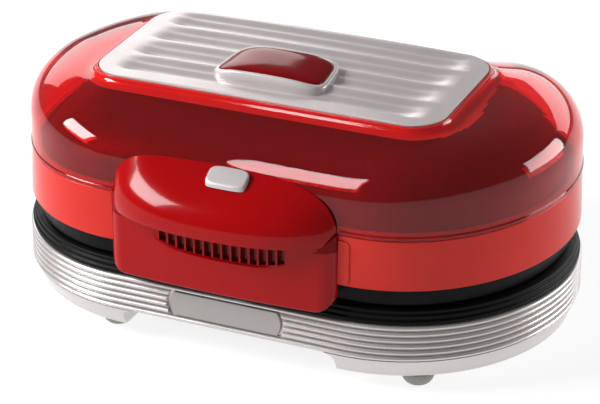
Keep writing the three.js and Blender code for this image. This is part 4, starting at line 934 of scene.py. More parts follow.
def ceramic_finish(surface):
    """Unglazed insulating ceramic: chalky, with fine pits."""
    surface.tones(surface.noise(800, 5), 0.88, 1.05)
    surface.vary(surface.noise(300), "Roughness", 0.6, 0.75)
    surface.relief(surface.noise(1800, 4), 0.00004)


def floor_finish(surface):
    """Matt studio floor."""
    surface.tones(surface.noise(3, 2), 0.99, 1.01)
    surface.set(Roughness=0.9, Specular_IOR_Level=0.1)
    surface.set(Emission_Color=(1, 1, 1, 1), Emission_Strength=0.84)


FINISHES = {
    "silver": silver_finish,
    "foot_grey": rubber_finish,
    "black": black_finish,
    "ring_red": gloss_finish,
    "handle_red": gloss_finish,
    "ruby": ruby_finish,
    # Painted shade inside the slots, on the gloss finish
    "slot_red": gloss_finish,
    "step_ruby": step_finish,
    "plaque_grey": plate_finish,
    "dark_liner": liner_finish,
    "plate_silver": plate_finish,
    "lens_red": lens_finish,
    "pale_grey": pale_finish,
    "cast_plate": cast_finish,
    "heater_steel": heater_finish,
    "bright_sheet": sheet_finish,
    "steel": steel_finish,
    "ceramic": ceramic_finish,
    "floor": floor_finish,
}


def finish(slot):
    """The material of a slot, made on first use."""
    name = slot + "_finish"
    found = bpy.data.materials.get(name)
    if found:
        return found
    surface = Surface(name, getattr(sizes("colours"), slot))
    FINISHES[slot](surface)
    return surface.material


# Base


def plaque_end(z):
    """Half the width of the plaque's recess at a height."""
    base = sizes("base")
    low, high = PLAQUE_LOW.z - base.gap, PLAQUE_HIGH.z + base.gap
    straight = PLAQUE_HIGH.x + base.gap - base.plaque_bulge
    return straight + base.plaque_bulge * bow(held((z - low) / (high - low)))


def band_ring(plan, z, inset, recess=None):
    """One ring round the ribbed band; in front it steps back behind the plaque."""
    end = plaque_end(z)
    straight = plan.half_width - plan.end_length
    columns = steps_between(-straight, -end - COLUMN_HAIR, BAND_COLUMNS)[1:]
    columns += steps_between(-end + COLUMN_HAIR, end - COLUMN_HAIR, 2 * BAND_COLUMNS)
    columns += steps_between(end + COLUMN_HAIR, straight, BAND_COLUMNS)[:-1]
    round_back = [station for station in stations() if station[:2] != ("flank", -1)]
    ring = level([oval_place(plan, inset, station) for station in round_back], z)
    front = plan.centre_y - plan.half_depth
    for x in columns:
        depth = recess if recess is not None and abs(x) < end else inset
        ring.append((x, front + depth, z))
    return ring


def band_shape(plan):
    """The ribbed band, from the lobes up to the rim."""
    base = sizes("base")
    bottom, top = base.band_bottom, TUB_HIGH.z
    pitch = (top - bottom) / base.rib_count
    inside = base.rib_depth + base.wall
    low = bottom + base.plaque_bottom_rib * pitch
    high = bottom + base.plaque_top_rib * pitch
    rings = []
    for rib in range(base.rib_count):
        for step in range(RIB_STEPS + 3):
            if step == 0 and rib:
                continue
            inset = base.groove_depth
            if step == 0:
                z = bottom + rib * pitch
            elif step == RIB_STEPS + 2:
                z = bottom + (rib + 1) * pitch
            else:
                turn = -QUARTER_TURN + HALF_TURN * (step - 1) / RIB_STEPS
                z = bottom + (rib + 0.5 + 0.5 * base.rib_share * math.sin(turn)) * pitch
                inset *= 1 - math.cos(turn)
            within = low - RIB_HAIR < z < high + RIB_HAIR
            if within and abs(z - low) < RIB_HAIR:
                rings.append(band_ring(plan, z - RIB_HAIR, inset))
                z += RIB_HAIR
            rings.append(band_ring(plan, z, inset, base.plaque_recess if within else None))
            if within and abs(z - high) < RIB_HAIR:
                rings.append(band_ring(plan, z + RIB_HAIR, inset))
    rings.append(band_ring(plan, top, base.rib_depth + base.gap))
    rings += [band_ring(plan, z, inside) for z in (top, bottom + base.wall, bottom)]
    return Shape().rings(rings, closed=True)


def lobe_side(z):
    """How far the lobe's inner wall stands from the middle at a height."""
    base = sizes("base")
    foot = TUB_LOW.z + base.arch_foot_radius
    roof = base.band_bottom - base.arch_top_radius
    side = base.arch_half_width
    if z < foot:
        return side + base.arch_foot_radius * round_fall((foot - z) / base.arch_foot_radius)
    if z > roof:
        return side - base.arch_top_radius * round_fall((z - roof) / base.arch_top_radius)
    return side


def lobe_ring(plan, z, side):
    """A D-shaped ring of one lobe: its round end, closed by the arch's straight side."""
    straight = plan.half_width - plan.end_length
    start = math.acos(held((side - straight) / plan.end_length))
    points = [(side, plan.centre_y - plan.half_depth * math.sin(start))]
    for turn in steps_between(-start, start, END_STEPS):
        x = straight + plan.end_length * math.cos(turn)
        points.append((x, plan.centre_y + plan.half_depth * math.sin(turn)))
    points.append((side, plan.centre_y + plan.half_depth * math.sin(start)))
    return level(points, z)


def lobe_shape(plan):
    """Both lobes, drawn in towards the ground and rounded underneath."""
    base = sizes("base")
    bottom, top = TUB_LOW.z, base.band_bottom
    edge_top = bottom + base.lobe_edge
    turns = steps_between(0, QUARTER_TURN, EDGE_STEPS)
    heights = [bottom + base.lobe_edge * (1 - math.cos(turn)) for turn in turns]
    heights += steps_between(edge_top, top, LOBE_STEPS)[1:]
    rings = []
    for z in heights:
        share = (top - max(z, edge_top)) / (top - edge_top)
        tuck = share ** LOBE_POWER
        inset = base.rib_depth * (1 - share)
        if z < edge_top:
            inset += base.lobe_edge * round_fall((edge_top - z) / base.lobe_edge)
        lobe = Plan(
            plan.half_width - base.lobe_tuck_width * tuck - inset,
            plan.half_depth - base.lobe_tuck_depth * tuck - inset,
            plan.end_length - base.lobe_tuck_end * tuck - inset,
            plan.centre_y,
        )
        rings.append(lobe_ring(lobe, z, lobe_side(z)))
    mirrored = [[(-x, y, z) for x, y, z in reversed(ring)] for ring in rings]
    return Shape().rings(rings).rings(mirrored)


def round_rectangle(half_width, half_depth, radius, centre_y):
    """A rectangle with round corners, anticlockwise."""
    corners = [(1, 1, 0), (-1, 1, 1), (-1, -1, 2), (1, -1, 3)]
    outline = []
    for side, end, quarter in corners:
        centre = (side * (half_width - radius), centre_y + end * (half_depth - radius))
        start = quarter * QUARTER_TURN
        outline += arc(centre, radius, start, start + QUARTER_TURN, EDGE_STEPS)
    return outline


class BURGER_OT_base_tub(bpy.types.Operator):
    """Silver tub: ribbed band, lobes and floor"""

    bl_idname = "burger.base_tub"
    bl_label = "Base tub"

    def execute(self, context):
        base = sizes("base")
        plan = body_plan()
        shape = band_shape(plan)
        lobes = lobe_shape(plan)
        shape.add(lobes.points, lobes.faces)
        outline = oval(plan, base.rib_depth + base.gap)
        border = base.cover_border
        half_depth = COVER_HIGH.y - MIDDLE_Y - border
        opening = round_rectangle(COVER_HIGH.x - border, half_depth, base.opening_corner, MIDDLE_Y)
        low, high = base.band_bottom, base.band_bottom + base.wall
        add_mesh(shape, sheet_mesh("tub_floor", outline, [opening], low, high, base.gap))
        make_piece("silver_tub", shape, "silver", "base", ["base_tub"])
        return {"FINISHED"}


class BURGER_OT_plaque(bpy.types.Operator):
    """Bare name panel in front of the ribs"""

    bl_idname = "burger.plaque"
    bl_label = "Plaque"

    def execute(self, context):
        base = sizes("base")
        low, high = PLAQUE_LOW.z, PLAQUE_HIGH.z
        straight = PLAQUE_HIGH.x - base.plaque_bulge - base.plaque_side_gap
        back = TUB_LOW.y + base.plaque_recess

        def end(side):
            return [
                (side * (straight + base.plaque_bulge * bow(share)), low + (high - low) * share)
                for share in steps_between(0, 1, END_ROWS)
            ]

        shape = Shape().prism(end(1) + end(-1)[::-1], PLAQUE_LOW.y, back, "y")
        nodes = ["front_plaque"]
        make_piece("name_panel", shape, "silver", "base", nodes, base.gap, finish_name="plaque_grey")
        return {"FINISHED"}


# Heights of the rim's steps, as shares of what shows of it
RIM_TREADS = (0.21, 0.32, 0.57, 0.67, 0.88)


class BURGER_OT_base_rim(bpy.types.Operator):
    """Black stepped rim round the cooking plate"""

    bl_idname = "burger.base_rim"
    bl_label = "Base rim"

    def execute(self, context):
        base, rim = sizes("base"), sizes("rim")
        plan = body_plan()
        top = RIM_HIGH.z
        bottom = top - rim.rise + base.gap
        ledge = top - rim.plate_recess
        lip = base.rib_depth + base.wall + base.gap
        outer, middle = rim.outer_inset, rim.outer_inset + rim.step
        inner = middle + rim.step
        at = [bottom + (top - bottom) * share for share in RIM_TREADS]
        profile = [
            (outer, bottom),
            (outer, at[0]),
            (middle, at[1]),
            (middle, at[2]),
            (inner, at[3]),
            (inner, at[4]),
            (inner + rim.crown_slope, top),
            (rim.inner_inset - rim.step, top),
            (rim.inner_inset, top - rim.step),
            (rim.inner_inset, ledge),
            (rim.inner_inset + rim.ledge_width, ledge),
            (rim.inner_inset + rim.ledge_width, bottom + base.gap),
            (lip + rim.lip, bottom + base.gap),
            (lip + rim.lip, RIM_LOW.z),
            (lip, RIM_LOW.z),
            (lip, bottom),
        ]
        rings = [level(oval(plan, inset), z) for inset, z in profile]
        shape = Shape().rings(rings, closed=True)
        make_piece("black_rim", shape, "black", "base", ["base_rim"], edge=base.gap)
        return {"FINISHED"}


class BURGER_OT_feet(bpy.types.Operator):
    """Round rubber feet"""

    bl_idname = "burger.feet"
    bl_label = "Feet"

    def execute(self, context):
        base = sizes("base")
        edge = base.foot_edge
        top = TUB_LOW.z - base.gap
        for node in ("foot_front_left", "foot_front_right", "foot_rear_left", "foot_rear_right"):
            low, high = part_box(node)
            radius = (high.x - low.x) / 2
            centre = ((low.x + high.x) / 2, (low.y + high.y) / 2, 0)
            tread = radius * FOOT_TREAD
            profile = [(0, 0.0)]
            for turn in steps_between(0, QUARTER_TURN, FOOT_STEPS):
                out = tread + (radius - tread) * math.sin(turn)
                profile.append((out, (top - edge) * (1 - math.cos(turn)) ** FOOT_POWER))
            profile += [(radius - edge, top), (0, top)]
            shape = Shape().lathe(profile, "z", centre)
            make_piece("rubber_" + node, shape, "foot_grey", "base", [node])
        return {"FINISHED"}


class BURGER_OT_bottom_cover(bpy.types.Operator):
    """Vented cover under the arch"""

    bl_idname = "burger.bottom_cover"
    bl_label = "Bottom cover"

    def execute(self, context):
        base = sizes("base")
        half_width = COVER_HIGH.x
        half_depth = (COVER_HIGH.y - COVER_LOW.y) / 2
        centre_y = (COVER_HIGH.y + COVER_LOW.y) / 2
        inside = half_width - base.cover_border
        radius = base.cover_slot_width / 2
        holes = [
            slot_hole(x, centre_y, base.cover_slot_reach - radius, radius)
            for x in steps_between(-inside, inside, base.cover_slots + 1)[1:-1]
        ]
        outline = round_rectangle(half_width, half_depth, base.cover_corner, centre_y)
        low, high = COVER_LOW.z, COVER_LOW.z + base.cover_sheet
        shape = add_mesh(Shape(), sheet_mesh("vented_cover", outline, holes, low, high, FINE_EDGE))
        make_piece("vented_cover", shape, "black", "base", ["bottom_cover"])
        return {"FINISHED"}


# Cooking plates


def well_shape(shape, centre, face, up, depth):
    """One round well: a bead at its mouth, a straight wall, a fillet and low bars on its floor."""
    grill = sizes("grill")
    radius, fillet, bead = grill.well_radius, grill.fillet, grill.bead
    floor = face - up * depth
    underside = floor - up * grill.cup_wall
    profile = [
        (0, underside),
        (radius + grill.cup_wall, underside),
        (radius + grill.cup_wall, face - up * grill.thickness / 2),
    ]
    for turn in steps_between(0, HALF_TURN, FILLET_STEPS):
        out = radius + bead / 2 + bead / 2 * math.cos(turn)
        profile.append((out, face + up * BEAD_RISE * bead * math.sin(turn)))
    profile.append((radius, floor + up * fillet))
    for turn in steps_between(0, QUARTER_TURN, FILLET_STEPS):
        out = radius - fillet + fillet * math.cos(turn)
        profile.append((out, floor + up * fillet * (1 - math.sin(turn))))
    profile.append((0, floor))
    shape.lathe(profile, "z", (centre, MIDDLE_Y, 0), WELL_STEPS)

    half = grill.bar_width / 2
    foot, top = floor - up * grill.bar_height, floor + up * grill.bar_height
    shoulder = top - up * half * BAR_BEVEL
    for x in steps_between(-radius, radius, grill.bar_count + 1)[1:-1]:
        reach = math.sqrt(radius * radius - x * x) * grill.bar_reach
        outline = slot_hole(centre + x, MIDDLE_Y, reach - half, half)
        smaller = [
            (centre + x + (u - centre - x) * BAR_TOP_WIDTH,
             MIDDLE_Y + (v - MIDDLE_Y) * BAR_TOP_LENGTH)
            for u, v in outline
        ]
        shape.rings([level(outline, foot), level(outline, shoulder), level(smaller, top)])


def cooking_plate(name, node, outline, face, up, depth):
    """A coated plate with its wells."""
    grill = sizes("grill")
    centres = (-grill.well_spacing, grill.well_spacing)
    hole_radius = grill.well_radius + grill.bead / 2
    holes = [circle((x, MIDDLE_Y), hole_radius, WELL_STEPS) for x in centres]
    low, high = sorted((face, face - up * grill.thickness))
    shape = add_mesh(Shape(), sheet_mesh(name, outline, holes, low, high, SMALL_EDGE))
    for x in centres:
        well_shape(shape, x, face, up, depth)
    make_piece(name, shape, "cast_plate", frame_body(node), [node])


def frame_body(node):
    """The body that a CAD node belongs to."""
    bodies = frame["record"]["behaviour"]["bodies"]
    return next(body for body, members in bodies.items() if node in members)


class BURGER_OT_cooking_plates(bpy.types.Operator):
    """Lower and upper cooking plates with round wells"""

    bl_idname = "burger.cooking_plates"
    bl_label = "Cooking plates"

    def execute(self, context):
        grill, base, rim, lid = sizes("grill"), sizes("base"), sizes("rim"), sizes("lid")
        lower_face = RIM_HIGH.z - rim.plate_recess + base.gap + grill.thickness
        lower = oval(body_plan(), rim.inner_inset + base.gap)
        cooking_plate("lower_grill", "lower_cooking_plate", lower, lower_face, 1, grill.lower_depth)
        inset = lid.collar_inset + lid.collar_chamfer + lid.wall + base.gap
        upper = oval(ring_plan(), inset)
        upper_face = COLLAR_LOW.z + base.gap
        cooking_plate("upper_grill", "upper_cooking_plate", upper, upper_face, -1, grill.upper_depth)
        return {"FINISHED"}


# Lid


class BURGER_OT_collar(bpy.types.Operator):
    """Black collar under the red ring"""

    bl_idname = "burger.collar"
    bl_label = "Lid collar"

    def execute(self, context):
        lid = sizes("lid")
        outer = lid.collar_inset
        inner = outer + lid.collar_chamfer + lid.wall
        low, high = COLLAR_LOW.z, COLLAR_HIGH.z
        ledge = low + lid.collar_ledge_drop
        profile = [
            (outer + lid.collar_chamfer, low),
            (outer, low + lid.collar_chamfer_rise),
            (outer, high),
            (inner, high),
            (inner, ledge + lid.collar_ledge_wall),
            (lid.collar_ledge, ledge + lid.collar_ledge_wall),
            (lid.collar_ledge, ledge),
            (inner, ledge),
            (inner, low),
        ]
        rings = [level(oval(ring_plan(), inset), z) for inset, z in profile]
        shape = Shape().rings(rings, closed=True)
        make_piece("black_collar", shape, "black", "lid", ["lid_collar"], FINE_EDGE)
        return {"FINISHED"}


class BURGER_OT_ring(bpy.types.Operator):
    """Opaque red ring of the lid"""

    bl_idname = "burger.ring"
    bl_label = "Lid ring"

    def execute(self, context):
        lid = sizes("lid")
        foot, top = ring_plan(), dome_plan()
        bottom, lip_top = RING_LOW.z, RING_HIGH.z
        edge = lip_top - lid.ring_lip_rise
        lip_inside = lid.ring_lip_inset + lid.ring_lip
        rings = [
            level(oval(foot), bottom),
            level(oval(top), edge),
            level(oval(top, lid.ring_lip_inset), edge),
            level(oval(top, lid.ring_lip_inset), lip_top),
            level(oval(top, lip_inside), lip_top),
            level(oval(top, lip_inside), edge - lid.ring_lip_rise),
            level(oval(foot, lid.wall), bottom + lid.wall),
            level(oval(foot, lid.ring_flange), bottom + lid.wall),
            level(oval(foot, lid.ring_flange), bottom),
        ]
        shape = Shape().rings(rings, closed=True)
        make_piece("red_ring", shape, "ring_red", "lid", ["lid_ring"], BROAD_EDGE, segments=4)
        return {"FINISHED"}


DomeForm = namedtuple(
    "DomeForm",
    "wall_height wall_end_rise wall_back_drop shoulder_height shoulder_run step_flare step_height corner",
)


def even_steps(points, steps):
    """Points at even distances along a line of points."""
    lengths = [0.0]
    for before, after in zip(points, points[1:]):
        lengths.append(lengths[-1] + (after - before).length)
    spread, at = [], 0
    for target in steps_between(0, lengths[-1], steps):
        while at < len(points) - 2 and lengths[at + 1] < target:
            at += 1
        stretch = lengths[at + 1] - lengths[at]
        share = (target - lengths[at]) / stretch if stretch else 0.0
        spread.append(points[at].lerp(points[at + 1], held(share)))
    return spread


def dome_rib(station, inset, form, foot_z):
    """The dome's line from its foot to the step at one place round it."""
    lid = sizes("lid")
    plan = dome_plan()
    ring_top = RING_HIGH.z - lid.ring_lip_rise
    x, y = oval_place(plan, inset, station)
    tip_x, tip_y = plate_place(inset - form.step_flare, station)
    tip = Vector((tip_x, tip_y, plate_height(tip_y) - form.step_height - inset))
    swelling = ease((abs(x) - lid.end_start) / (TUB_HIGH.x - lid.end_start))
    behind = max(0.0, (y - plan.centre_y) / plan.half_depth)
    lean = lid.lean * (1 - swelling) * (1 if y > plan.centre_y else -1)
    rise = (form.wall_end_rise - form.wall_back_drop * behind) * swelling
    wall_top = Vector((x, y - lean, ring_top + form.wall_height - inset + rise))
    shoulder = ring_top + form.shoulder_height - inset
    corner_z = shoulder + (tip.z - shoulder) * swelling - lid.shoulder_drop * behind
    corner_z -= (corner_z - wall_top.z) * (1 - form.corner) * swelling
    bend = Vector((x, y - lean, corner_z))
    full = (tip - bend).length
    run = min(full, form.shoulder_run + (full - form.shoulder_run) * swelling)
    finish_point = bend.lerp(tip, run / full)
    line = []
    for share in steps_between(0, 1, CURVE_STEPS):
        line.append(wall_top.lerp(bend, share).lerp(bend.lerp(finish_point, share), share))
    line.append(tip)
    foot = Vector((x, y, foot_z))
    wall = [foot.lerp(wall_top, share) for share in steps_between(0, 1, WALL_STEPS)]
    return wall[:-1] + even_steps(line, CURVE_STEPS)


def dome_rings(inset, form, foot_z):
    """Rings of the dome from its foot to the step."""
    ribs = [dome_rib(station, inset, form, foot_z) for station in stations()]
    return [list(ring) for ring in zip(*ribs)]


def shell_form():
    """The outer dome's form."""
    lid = sizes("lid")
    return DomeForm(
        lid.wall_height, lid.wall_end_rise, lid.wall_back_drop, lid.shoulder_height,
        lid.shoulder_run, lid.step_flare, lid.step_height, 1.0,
    )


class BURGER_OT_dome(bpy.types.Operator):
    """Clear ruby dome with a step round the top plate"""

    bl_idname = "burger.dome"
    bl_label = "Ruby dome"

    def execute(self, context):
        lid = sizes("lid")
        plan = dome_plan()
        foot = SHELL_LOW.z
        lip_top = foot + lid.lip_height
        seat = lid.plate_sheet + lid.seat_gap

        def step(inset, drop):
            return on_plate([plate_place(inset, station) for station in stations()], -drop)

        def cove(turn):
            """The hollow slope from the dome's top up to the plate."""
            out = lid.step_land + (lid.step_flare - lid.step_land) * (1 - math.cos(turn))
            return step(-out, lid.plate_drop + (lid.step_height - lid.plate_drop) * math.sin(turn))

        rings = [
            level(oval(plan, -lid.lip_out), foot),
            level(oval(plan, -lid.lip_out), lip_top),
            level(oval(plan), lip_top + lid.lip_out),
            *dome_rings(0.0, shell_form(), foot)[2:],
            *[cove(turn) for turn in steps_between(QUARTER_TURN, 0, FILLET_STEPS)[1:]],
            step(-lid.plate_gap, lid.plate_drop),
            step(-lid.plate_gap, seat),
            step(lid.wall, seat),
            step(lid.wall, seat + lid.wall),
            *dome_rings(lid.wall, shell_form(), foot)[::-1],
        ]
        shape = Shape().rings(rings, closed=True)
        piece = make_piece("ruby_dome", shape, "ruby", "lid", ["lid_shell"], SMALL_EDGE)
        piece.data.materials.append(finish("step_ruby"))
        for polygon in piece.data.polygons:
            step_foot = plate_height(polygon.center.y) - lid.step_height
            if polygon.center.z > step_foot - NEAR:
                polygon.material_index = 1
        return {"FINISHED"}


class BURGER_OT_liner(bpy.types.Operator):
    """Dark heat shield that shows through the dome"""

    bl_idname = "burger.liner"
    bl_label = "Dark liner"

    def execute(self, context):
        lid = sizes("lid")
        form = DomeForm(
            lid.liner_wall_height, lid.liner_end_rise, 0.0, lid.liner_shoulder,
            lid.liner_run, 0.0, lid.liner_drop, lid.liner_corner,
        )
        outside = dome_rings(lid.liner_inset, form, LINER_LOW.z)
        inside = dome_rings(lid.liner_inset + lid.liner_sheet, form, LINER_LOW.z)
        shape = Shape().rings(inside[::-1] + outside)
        make_piece("dark_shield", shape, "dark_liner", "lid", ["lid_liner"])
        return {"FINISHED"}


def plate_grid(height_at):
    """Points over the top plate's round-cornered outline, row by row from front to back."""
    radius, half_width, half_depth, centre_y = plate_plan()
    grid = []
    for v in steps_between(-1, 1, PLATE_ROWS):
        y = half_depth * math.sin(QUARTER_TURN * v)
        over = max(0.0, abs(y) - (half_depth - radius))
        reach = half_width - radius + math.sqrt(max(0.0, radius * radius - over * over))
        grid.append([
            (u * reach, centre_y + y, height_at(u * reach, centre_y + y))
            for u in steps_between(-1, 1, PLATE_COLUMNS)
        ])
    return grid


def border(grid):
    """The edge of a grid of points, once round."""
    right = [row[-1] for row in grid[1:]]
    left = [row[0] for row in grid[-2:0:-1]]
    return grid[0] + right + grid[-1][-2::-1] + left


# A trough's section from front to back, as (share of its width, share of its depth)
TROUGH_SECTION = ((0.0, 0.0), (0.12, 1.0), (0.3, 0.92), (0.65, 0.5), (1.0, 0.0))


def trough_fall(across):
    """How deep a trough is at a share of its width: a steep front, then a long rise."""
    for (start, low), (stop, high) in zip(TROUGH_SECTION, TROUGH_SECTION[1:]):
        if start <= across <= stop:
            return low + (high - low) * ease((across - start) / (stop - start))
    return 0.0


def plate_top(x, y):
    """Height of the top plate's face: crowned, with long troughs."""
    lid = sizes("lid")
    crown = lid.plate_crown * (1 - (x / PLATE_HIGH.x) ** 2)
    reach = abs(x) / (PLATE_HIGH.x - lid.trough_end)
    fade = max(0.0, 1 - reach ** TROUGH_POWER)
    fall = 0.0
    for i in range(lid.trough_count):
        start = PLATE_LOW.y + lid.trough_first + i * lid.trough_pitch
        fall += trough_fall((y - start) / lid.trough_width)
    return plate_height(y) + crown - lid.trough_depth * fall * fade


class BURGER_OT_top_plate(bpy.types.Operator):
    """Silver plate with long ridges"""

    bl_idname = "burger.top_plate"
    bl_label = "Top plate"

    def execute(self, context):
        lid = sizes("lid")
        top = plate_grid(plate_top)
        bottom = plate_grid(lambda x, y: plate_height(y) - lid.plate_sheet)
        shape = Shape().grid(top).grid([row[::-1] for row in bottom])
        shape.rings([border(bottom), border(top)], ends=False)
        make_piece("ridged_plate", shape, "plate_silver", "lid", ["top_plate"], PLAIN_EDGE)
        return {"FINISHED"}


def badge_halves():
    """Half the badge's width and half its depth."""
    badge = sizes("badge")
    half_width = (BEZEL_HIGH.x - BEZEL_LOW.x) / 2 / (1 + badge.flare * FLARE_REACH)
    return half_width, (BEZEL_HIGH.y - BEZEL_LOW.y) / 2


def badge_ring(half_width, half_depth, rise, arched=True):
    """A ring of the badge, a little wider in front, laid on the plate and arched or flat."""
    badge = sizes("badge")
    full_width, full_depth = badge_halves()
    centre = ((BEZEL_LOW.x + BEZEL_HIGH.x) / 2, (BEZEL_LOW.y + BEZEL_HIGH.y) / 2)
    ring = []
    for x, y in squared((0, 0), (half_width, half_depth), badge.power, BADGE_STEPS):
        across, at = centre[0] + x * (1 - badge.flare * y / full_depth), centre[1] + y
        z = plate_height(at) + rise
        if arched:
            share = abs((across - centre[0]) / full_width)
            z += badge.arch * (1 - share ** ARCH_POWER)
        ring.append((across, at, z))
    return ring


class BURGER_OT_badge(bpy.types.Operator):
    """Pale bezel and dark red lens on the top plate"""

    bl_idname = "burger.badge"
    bl_label = "Badge"

    def execute(self, context):
        badge, lid = sizes("badge"), sizes("lid")
        wide, deep = badge_halves()
        rise = lid.plate_crown + lid.seat_gap
        top = rise + badge.height
        rings = [badge_ring(wide, deep, lid.plate_crown - lid.trough_depth, arched=False)]
        for turn in steps_between(0, QUARTER_TURN, FILLET_STEPS):
            inset = badge.bevel * (1 - math.cos(turn))
            rings.append(badge_ring(wide - inset, deep - inset, top - badge.bevel * (1 - math.sin(turn))))
        wide, deep = wide - badge.rim_width, deep - badge.rim_depth
        for turn in steps_between(0, QUARTER_TURN, LIP_STEPS):
            grown = badge.lip * (1 - math.sin(turn))
            rings.append(badge_ring(wide + grown, deep + grown, top - badge.lip * (1 - math.cos(turn))))
        rings.append(badge_ring(wide, deep, rise + badge.floor, arched=False))
        make_piece("pale_bezel", Shape().rings(rings), "pale_grey", "lid", ["badge_bezel"])

        foot = rise + badge.floor + lid.seat_gap
        height = badge.height - badge.floor + badge.lens_bulge
        wide, deep = wide - lid.seat_gap, deep - lid.seat_gap
        rings = [
            badge_ring(wide, deep, foot, arched=False),
            badge_ring(wide, deep, foot + height * LENS_EDGE),
        ]
        for turn in steps_between(0, QUARTER_TURN * LENS_REACH, LENS_STEPS)[1:]:
            share = math.cos(turn) ** LENS_POWER
            lift = LENS_EDGE + (1 - LENS_EDGE) * math.sin(turn)
            rings.append(badge_ring(wide * share, deep * share, foot + height * lift))
        make_piece("domed_lens", Shape().rings(rings), "lens_red", "lid", ["badge_lens"])
        return {"FINISHED"}


# Handle


def skirt_front(x):
    """Depth of the skirt's bowed face at a place across."""
    handle = sizes("handle")
    half = SKIRT_HIGH.x - handle.corner
    face = RING_LOW.y - handle.reach
    return face - handle.bow * (1 - (x / half) ** 2)


def recess_ends():
    """Places across where the finger recess starts and stops."""
    handle = sizes("handle")
    return handle.recess_x - handle.recess_half, handle.recess_x + handle.recess_half


def slot_middles():
    """Places across of the slots."""
    handle = sizes("handle")
    last = (handle.slot_count - 1) / 2
    return [handle.recess_x + (i - last) * handle.slot_pitch for i in range(handle.slot_count)]


def skirt_columns():
    """Places along the skirt's plan: (x, y, outward x, outward y, is on the front face)."""
    handle = sizes("handle")
    half = SKIRT_HIGH.x - handle.corner
    face = RING_LOW.y - handle.reach
    stop = math.asin((face + handle.corner - SKIRT_HIGH.y) / handle.corner)
    left, right = recess_ends()
    fronts = {
        x for x in steps_between(-half, half, SKIRT_COLUMNS)
        if not left - handle.recess_side < x < right + handle.recess_side
    }
    for share in steps_between(0, 1, RECESS_STEPS):
        fronts.add(left + handle.recess_side * share)
        fronts.add(right - handle.recess_side * share)
    for x in slot_middles():
        fronts.add(x)
        for side in (-1, 1):
            fronts.add(x + side * (handle.slot_width / 2 - SLOT_HAIR))
            fronts.add(x + side * (handle.slot_width / 2 + SLOT_HAIR))
    columns = []
    for x in sorted(fronts):
        slope = 2 * handle.bow * x / half ** 2
        normal = Vector((slope, -1)).normalized()
        columns.append((x, skirt_front(x), normal.x, normal.y, True))
    corner = [
        (half + handle.corner * math.cos(t), face + handle.corner + handle.corner * math.sin(t),
         math.cos(t), math.sin(t), False)
        for t in steps_between(-QUARTER_TURN, -stop, CORNER_STEPS)[1:]
    ]
    return [(-x, y, -nx, ny, False) for x, y, nx, ny, _ in reversed(corner)] + columns + corner


def recess_edge(x):
    """Height of the finger recess's lower edge."""
    handle = sizes("handle")
    share = abs(x - handle.recess_x) / handle.recess_half
    return SKIRT_HIGH.z - handle.recess_height + handle.recess_sag * share ** 3


def skirt_foot(x):
    """Height of the skirt's lower edge, which rises round its corners."""
    handle = sizes("handle")
    over = max(0.0, abs(x) - (SKIRT_HIGH.x - handle.foot_corner)) / handle.foot_corner
    return SKIRT_LOW.z + handle.foot_corner * round_fall(over)


def skirt_rows(x):
    """Heights up one column, as (height, inset by the edge's round, share of recess, in slot)."""
    handle = sizes("handle")
    foot, top = skirt_foot(x), SKIRT_HIGH.z
    edge = handle.edge
    low = max(recess_edge(x), foot + edge + SLOT_HAIR)
    ramp = low + handle.recess_ramp
    below_slot = ramp + handle.slot_start - SLOT_HAIR
    slot_foot, slot_top = below_slot + 2 * SLOT_HAIR, top - handle.slot_stop
    rows = []
    for t in steps_between(0, QUARTER_TURN, EDGE_STEPS):
        rows.append((foot + edge * (1 - math.cos(t)), edge * (1 - math.sin(t)), 0.0, False))
    for z in steps_between(foot + edge, low, FACE_ROWS)[1:]:
        rows.append((z, 0.0, 0.0, False))
    for z in steps_between(low, ramp, RECESS_STEPS)[1:]:
        rows.append((z, 0.0, ease((z - low) / (ramp - low)), False))
    rows.append((below_slot, 0.0, 1.0, False))
    for z in steps_between(slot_foot, slot_top, SLOT_ROWS):
        rows.append((z, 0.0, 1.0, True))
    rows.append((slot_top + 2 * SLOT_HAIR, 0.0, 1.0, False))
    for t in steps_between(0, QUARTER_TURN, SEAM_STEPS):
        inset = SMALL_EDGE * (1 - math.cos(t))
        rows.append((top - SMALL_EDGE * (1 - math.sin(t)), inset, 1.0, False))
    return rows


